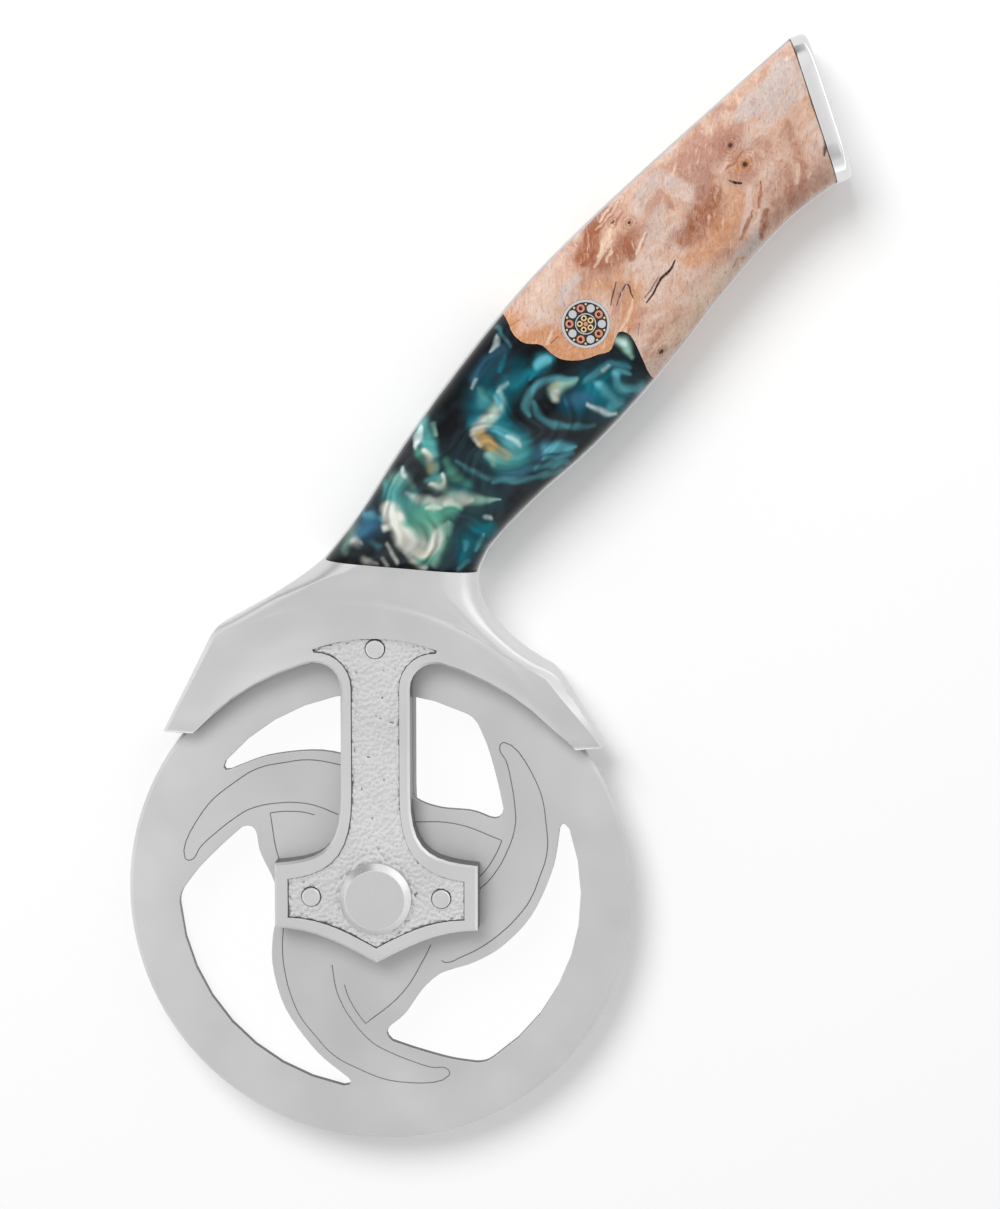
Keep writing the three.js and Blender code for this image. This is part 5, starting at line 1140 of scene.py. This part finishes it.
class PIZZAWHEEL_OT_panels(bpy.types.Operator):
    """Lay the pebbled ground on the floors of the arms' panels"""
    bl_idname = "pizzawheel.panels"
    bl_label = "Pebbled panels"

    # Gap to the panel's walls, depth in its floor, and height before the pebbles are raised
    GAP = 0.1 * MM
    SINK = 0.05 * MM
    RISE = 0.4 * MM
    # A face whose normal rises more than this lies flat
    FLAT_RISE = 0.99
    SHADE_ANGLE = math.radians(60.0)

    def pebbled_sheet(self, settings, name, floor, side, material):
        """Model one ground: the panel's floor drawn in from its walls, raised and covered in pebbles."""
        sheet = merged_copy("fork_frame", name)
        bpy.ops.object.mode_set(mode='EDIT')
        bpy.ops.mesh.select_mode(type='FACE')
        bpy.ops.mesh.select_all(action='SELECT')
        shape = bmesh.from_edit_mesh(sheet.data)
        for face in shape.faces:
            level = abs(face.calc_center_median().z - floor) < LEVEL_TOLERANCE
            if level and face.normal.z * side > self.FLAT_RISE:
                face.select_set(False)
        bmesh.update_edit_mesh(sheet.data)
        bpy.ops.mesh.delete(type='FACE')
        bpy.ops.mesh.select_all(action='SELECT')
        bpy.ops.mesh.inset(thickness=self.GAP, use_boundary=True, use_even_offset=True)
        bpy.ops.mesh.select_all(action='INVERT')
        bpy.ops.mesh.delete(type='FACE')
        bpy.ops.mesh.select_all(action='SELECT')
        bpy.ops.transform.translate(value=(0.0, 0.0, -side * self.SINK))
        bpy.ops.object.mode_set(mode='OBJECT')
        apply_modifier(sheet, 'SOLIDIFY', thickness=self.RISE, offset=1.0)
        sheet.data.remesh_voxel_size = settings.pebble_mesh
        bpy.ops.object.voxel_remesh()
        texture = bpy.data.textures.new(name, 'VORONOI')
        texture.noise_scale = settings.pebble
        texture.distance_metric = 'DISTANCE_SQUARED'
        outer = sheet.vertex_groups.new(name="outer")
        middle = floor + side * (self.RISE / 2.0 - self.SINK)
        raised = [vert.index for vert in sheet.data.vertices if (vert.co.z - middle) * side > 0.0]
        outer.add(raised, 1.0, 'REPLACE')
        apply_modifier(
            sheet, 'DISPLACE', texture=texture, texture_coords='LOCAL', direction='Z', vertex_group="outer",
            strength=-side * settings.pebble_height, mid_level=0.0,
        )
        sheet.vertex_groups.remove(sheet.vertex_groups["outer"])
        shade(sheet, self.SHADE_ANGLE, weighted=False)
        set_finish(sheet, material)
        settle(sheet, "frame")

    def execute(self, context):
        settings = context.scene.pizza_wheel.steel
        material = satin_finish("pebbled_steel", settings.steel, settings.roughness, grain=EVEN_GRAIN)
        front, rear = PANEL_FLOORS
        self.pebbled_sheet(settings, "panel_ground_front", front, 1.0, material)
        self.pebbled_sheet(settings, "panel_ground_rear", rear, -1.0, material)
        return {'FINISHED'}


class PIZZAWHEEL_OT_pivot(bpy.types.Operator):
    """Finish the pivot: screw head, rear nut, bushing and washers"""
    bl_idname = "pizzawheel.pivot"
    bl_label = "Pivot"

    HEAD_ROUGHNESS = 0.3
    WASHER_ROUGHNESS = 0.5
    # Rounding of the heads against that of the other cut edges
    EDGE_SHARE = 0.6

    def execute(self, context):
        settings = context.scene.pizza_wheel.steel
        steel = satin_finish(
            "pivot_steel", settings.steel, self.HEAD_ROUGHNESS, grain=EVEN_GRAIN, spread=0.05, tone=0.03,
        )
        for node, name in (("pivot_screw", "pivot_head"), ("pivot_nut", "pivot_rear_head")):
            piece = merged_copy(node, name)
            soften_edges(piece, settings.soft_edge * self.EDGE_SHARE, is_sharp)
            shade(piece)
            set_finish(piece, steel)
            settle(piece, "frame", (node,))
        coat_node("wheel_bushing", metal_rod_finish("bushing_bronze", settings.bronze))
        washer = dull_finish("washer_plastic", settings.washer, self.WASHER_ROUGHNESS)
        coat_node("thrust_washer_front", washer)
        coat_node("thrust_washer_rear", washer)
        return {'FINISHED'}


class PIZZAWHEEL_OT_studs(bpy.types.Operator):
    """Model the studs in the arms' panels"""
    bl_idname = "pizzawheel.studs"
    bl_label = "Panel studs"

    DOME = 0.35 * MM
    DOME_STEPS = 4
    SIDES = 48
    ROUGHNESS = 0.3
    SHADE_ANGLE = math.radians(40.0)

    def model_stud(self, node, name, side):
        """Model one stud where its node is, with its outer end rounded into a low dome."""
        low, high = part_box(node)
        outer = high.z if side == "front" else low.z
        bpy.ops.object.select_all(action='DESELECT')
        bpy.ops.mesh.primitive_cylinder_add(
            vertices=self.SIDES, radius=(high.x - low.x) / 2.0, depth=high.z - low.z,
            location=(low + high) / 2.0,
        )
        stud = bpy.context.object
        stud.name = name
        stud.data.name = name
        bpy.ops.object.transform_apply(location=True, rotation=True, scale=True)
        soften_edges(stud, self.DOME, lambda edge: is_level(edge, outer), self.DOME_STEPS)
        shade(stud, self.SHADE_ANGLE)
        return stud

    def execute(self, context):
        settings = context.scene.pizza_wheel.steel
        material = polished_finish("stud_steel", settings.polished, self.ROUGHNESS)
        for side in ("front", "rear"):
            for place in ("left", "right", "top"):
                node = "panel_stud_" + side + "_" + place
                stud = self.model_stud(node, "stud_" + side + "_" + place, side)
                set_finish(stud, material)
                settle(stud, "frame", (node,))
        return {'FINISHED'}


class PIZZAWHEEL_OT_scales(bpy.types.Operator):
    """Finish the handle scales in burl wood and cast resin"""
    bl_idname = "pizzawheel.scales"
    bl_label = "Handle scales"

    SHADE_ANGLE = math.radians(35.0)

    def execute(self, context):
        settings = context.scene.pizza_wheel.handle
        group = stroke_group()
        finishes = {"burl": burl_finish(settings, group), "resin": resin_finish(settings, group)}
        for stuff, material in finishes.items():
            for side in ("front", "rear"):
                node = stuff + "_scale_" + side
                scale = merged_copy(node, stuff + "_" + side)
                shade(scale, self.SHADE_ANGLE, weighted=False)
                set_finish(scale, material)
                settle(scale, "frame", (node,))
        return {'FINISHED'}


class PIZZAWHEEL_OT_cap(bpy.types.Operator):
    """Finish the polished butt cap"""
    bl_idname = "pizzawheel.cap"
    bl_label = "Butt cap"

    EDGE_ANGLE = 50.0
    ROUGHNESS = 0.1

    def execute(self, context):
        settings = context.scene.pizza_wheel.steel
        cap = merged_copy("butt_cap", "polished_cap")
        soften_edges(cap, settings.soft_edge, lambda edge: is_sharp(edge, self.EDGE_ANGLE))
        shade(cap)
        set_finish(cap, polished_finish("cap_steel", settings.polished, self.ROUGHNESS))
        settle(cap, "frame", ("butt_cap",))
        return {'FINISHED'}


class PIZZAWHEEL_OT_pin(bpy.types.Operator):
    """Give the mosaic pin its metals and its black filling"""
    bl_idname = "pizzawheel.pin"
    bl_label = "Mosaic pin"

    EPOXY_ROUGHNESS = 0.35

    def execute(self, context):
        settings = context.scene.pizza_wheel.pin
        copper = metal_rod_finish("pin_copper", settings.copper)
        brass = metal_rod_finish("pin_brass", settings.brass)
        steel = metal_rod_finish("pin_steel", settings.rod)
        epoxy = dull_finish("pin_epoxy", settings.epoxy, self.EPOXY_ROUGHNESS)
        finishes = (
            ("pin_copper_tube", copper), ("pin_core_rod", copper), ("pin_brass", brass),
            ("pin_steel_rod", steel), ("pin_outer_tube", steel), ("pin_inner_tube", steel),
            ("pin_outer_epoxy", epoxy), ("pin_inner_epoxy", epoxy),
        )
        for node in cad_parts:
            for start, material in finishes:
                if node.startswith(start):
                    coat_node(node, material)
        return {'FINISHED'}


class PIZZAWHEEL_OT_stage(bpy.types.Operator):
    """Set the floor, the light and the camera"""
    bl_idname = "pizzawheel.stage"
    bl_label = "Stage"

    WHITE = (1.0, 1.0, 1.0, 1.0)
    CAMERA_PLACE = AXLE + Vector((71.390, 126.103, 594.306)) * MM
    CAMERA_TARGET = AXLE + Vector((24.320, 58.389, 0.0)) * MM
    LENS = 108.825
    SENSOR_WIDTH = 36.0
    CLIP_START = 0.01
    CLIP_END = 50.0
    FLOOR_SIZE = 8.0
    FLOOR_DROP = 0.15 * MM
    # Share of white in the floor, as the camera sees it, as a mirror sees it, and under the wheel's
    # cut-outs, where it is painted light that washes out the wheel's shadow
    FLOOR_GLOW = 0.2
    MIRRORED_GLOW = 0.8
    PAINTED_LIGHT_UNDER_WHEEL = 0.95
    # Distances from the axle, in millimetres, between which the painted light under the wheel fades
    PAINTED_LIGHT_REACH = (41.0, 47.0)
    KEY_PLACE = (-0.38, 0.76, 1.1)
    KEY_SIZE = 0.8
    # Brightness of the dome that the steel mirrors, from the horizon to overhead
    DOME = ((0.0, 1.4), (0.25, 1.3), (0.45, 0.95), (0.6, 0.9), (0.8, 0.85), (0.92, 0.8), (1.0, 0.74))
    # Lights and dark cards in the dome: direction, cosines of its outer and inner edge, level
    CARDS = (
        ((-0.2, 0.45, 0.87), 0.82, 0.97, 0.2),
        ((0.44, 0.0, 0.9), 0.86, 0.97, 0.25),
        ((-0.44, -0.12, 0.9), 0.86, 0.97, 0.22),
        ((0.0, -0.42, 0.9), 0.88, 0.98, -0.2),
        ((0.78, 0.6, 0.16), 0.8, 0.97, 0.5),
        ((-0.6, 0.78, 0.15), 0.84, 0.97, -0.95),
    )

    def seen_directly(self, tree):
        """Give 1 for what a mirror or a clear piece sees, and 1 for what the camera sees."""
        rays = tree.nodes.new("ShaderNodeLightPath").outputs
        mirrored = compute(tree, 'MAXIMUM', rays["Is Glossy Ray"], rays["Is Transmission Ray"])
        return mirrored, rays["Is Camera Ray"]

    def lay_floor(self, settings):
        """Lay the pale floor, lit to white where nothing shades it, with painted light under the wheel's
        cut-outs that washes out the wheel's shadow there.
        """
        bpy.ops.object.select_all(action='DESELECT')
        bpy.ops.mesh.primitive_plane_add(size=self.FLOOR_SIZE, location=(0.0, 0.0, 0.0))
        floor = bpy.context.object
        floor.name = "floor"
        bpy.ops.object.mode_set(mode='EDIT')
        bpy.ops.mesh.subdivide(number_cuts=4)
        bpy.ops.transform.translate(value=(0.0, 0.0, -self.FLOOR_DROP))
        bpy.ops.object.mode_set(mode='OBJECT')
        material, tree, shader = new_finish("pale_floor")
        shader.inputs["Base Color"].default_value = (*settings.floor, 1.0)
        shader.inputs["Roughness"].default_value = 1.0
        shader.inputs["Specular IOR Level"].default_value = 0.0
        glow = add_node(tree, "ShaderNodeEmission", {"Color": self.WHITE, "Strength": 1.0})
        mirrored, camera = self.seen_directly(tree)
        # Painted light: near the axle the floor glows near white, so the wheel's shadow fades there
        place = stretched(tree, millimetres(tree), (1.0, 1.0, 0.0))
        radius = vector_compute(tree, 'LENGTH', place).outputs["Value"]
        level = remap(tree, radius, *self.PAINTED_LIGHT_REACH, self.PAINTED_LIGHT_UNDER_WHEEL, self.FLOOR_GLOW, smooth=True)
        seen = compute(tree, 'MULTIPLY', camera, level)
        share = compute(tree, 'MAXIMUM', seen, compute(tree, 'MULTIPLY', mirrored, self.MIRRORED_GLOW))
        mixer = add_node(tree, "ShaderNodeMixShader", {0: share, 1: shader.outputs[0], 2: glow.outputs[0]})
        tree.links.new(mixer.outputs[0], tree.nodes["Material Output"].inputs["Surface"])
        set_finish(floor, material)

    def light_world(self, settings):
        """Light from all round, with a soft grey dome that the steel mirrors."""
        world = bpy.data.worlds.new("soft_dome")
        bpy.context.scene.world = world
        world.use_nodes = True
        tree = world.node_tree
        plain = tree.nodes["Background"]
        plain.inputs["Color"].default_value = self.WHITE
        plain.inputs["Strength"].default_value = settings.fill
        direction = tree.nodes.new("ShaderNodeTexCoord").outputs["Generated"]
        upward = add_node(tree, "ShaderNodeSeparateXYZ", {0: direction}).outputs[2]
        ramp = add_node(tree, "ShaderNodeValToRGB", {0: upward})
        elements = ramp.color_ramp.elements
        while len(elements) < len(self.DOME):
            elements.new(0.5)
        for element, (height, level) in zip(elements, self.DOME):
            element.position = height
            element.color = (level, level, level, 1.0)
        level = ramp.outputs[0]
        for towards, outer, inner, strength in self.CARDS:
            aim = Vector(towards).normalized()
            facing = vector_compute(tree, 'DOT_PRODUCT', direction, aim).outputs["Value"]
            card = remap(tree, facing, outer, inner, 0.0, strength, smooth=True)
            level = compute(tree, 'ADD', level, card)
        dome = add_node(tree, "ShaderNodeBackground", {"Color": self.WHITE, "Strength": level})
        white = add_node(tree, "ShaderNodeBackground", {"Color": self.WHITE, "Strength": 1.0})
        mirrored, camera = self.seen_directly(tree)
        lit_inputs = {0: mirrored, 1: plain.outputs[0], 2: dome.outputs[0]}
        lit = add_node(tree, "ShaderNodeMixShader", lit_inputs)
        shown = add_node(tree, "ShaderNodeMixShader", {0: camera, 1: lit.outputs[0], 2: white.outputs[0]})
        tree.links.new(shown.outputs[0], tree.nodes["World Output"].inputs["Surface"])

    def hang_key(self, settings):
        """Hang the softbox at the upper left."""
        lamp = bpy.data.lights.new("key_softbox", 'AREA')
        lamp.shape = 'DISK'
        lamp.size = self.KEY_SIZE
        lamp.energy = settings.key_power
        key = bpy.data.objects.new("key_softbox", lamp)
        bpy.context.scene.collection.objects.link(key)
        key.location = self.KEY_PLACE
        key.visible_glossy = False
        key.rotation_euler = (-Vector(self.KEY_PLACE)).to_track_quat('-Z', 'Y').to_euler()

    def set_camera(self):
        """Set the camera where the photograph was taken from, with the part's Y axis upright."""
        data = bpy.data.cameras.new("view")
        data.lens = self.LENS
        data.sensor_width = self.SENSOR_WIDTH
        data.sensor_fit = 'HORIZONTAL'
        data.clip_start = self.CLIP_START
        data.clip_end = self.CLIP_END
        camera = bpy.data.objects.new("view", data)
        bpy.context.scene.collection.objects.link(camera)
        backward = (self.CAMERA_PLACE - self.CAMERA_TARGET).normalized()
        right = Vector((0.0, 1.0, 0.0)).cross(backward).normalized()
        turn = Matrix((right, backward.cross(right), backward)).transposed()
        camera.matrix_world = Matrix.Translation(self.CAMERA_PLACE) @ turn.to_4x4()
        bpy.context.scene.camera = camera

    def execute(self, context):
        settings = context.scene.pizza_wheel.stage
        self.lay_floor(settings)
        self.light_world(settings)
        self.hang_key(settings)
        self.set_camera()
        context.scene.view_settings.view_transform = 'Standard'
        return {'FINISHED'}


OPERATORS = (
    PIZZAWHEEL_OT_cutting_wheel, PIZZAWHEEL_OT_fork, PIZZAWHEEL_OT_panels, PIZZAWHEEL_OT_pivot,
    PIZZAWHEEL_OT_studs, PIZZAWHEEL_OT_scales, PIZZAWHEEL_OT_cap, PIZZAWHEEL_OT_pin, PIZZAWHEEL_OT_stage,
)


class PIZZAWHEEL_PT_panel(bpy.types.Panel):
    """List the steps that finish the pizza wheel, with their settings"""
    bl_idname = "PIZZAWHEEL_PT_panel"
    bl_label = "Pizza wheel"
    bl_space_type = 'VIEW_3D'
    bl_region_type = 'UI'
    bl_category = "Pizza wheel"

    def draw(self, context):
        settings = context.scene.pizza_wheel
        for operator in OPERATORS:
            self.layout.operator(operator.bl_idname)
        for group in (settings.steel, settings.handle, settings.pin, settings.stage):
            box = self.layout.box()
            for name in group.__annotations__:
                box.prop(group, name)


CLASSES = (
    SteelSettings, HandleSettings, PinSettings, StageSettings, PizzaWheelSettings, *OPERATORS,
    PIZZAWHEEL_PT_panel,
)


def register():
    """Add the classes and the scene's settings."""
    for made in CLASSES:
        bpy.utils.register_class(made)
    bpy.types.Scene.pizza_wheel = PointerProperty(type=PizzaWheelSettings)


def unregister():
    """Take the settings and the classes away again."""
    del bpy.types.Scene.pizza_wheel
    for made in reversed(CLASSES):
        bpy.utils.unregister_class(made)


def main():
    """Finish every piece in order."""
    register()
    bpy.ops.pizzawheel.cutting_wheel()
    bpy.ops.pizzawheel.fork()
    bpy.ops.pizzawheel.panels()
    bpy.ops.pizzawheel.pivot()
    bpy.ops.pizzawheel.studs()
    bpy.ops.pizzawheel.scales()
    bpy.ops.pizzawheel.cap()
    bpy.ops.pizzawheel.pin()
    bpy.ops.pizzawheel.stage()


if __name__ == "__main__":
    main()
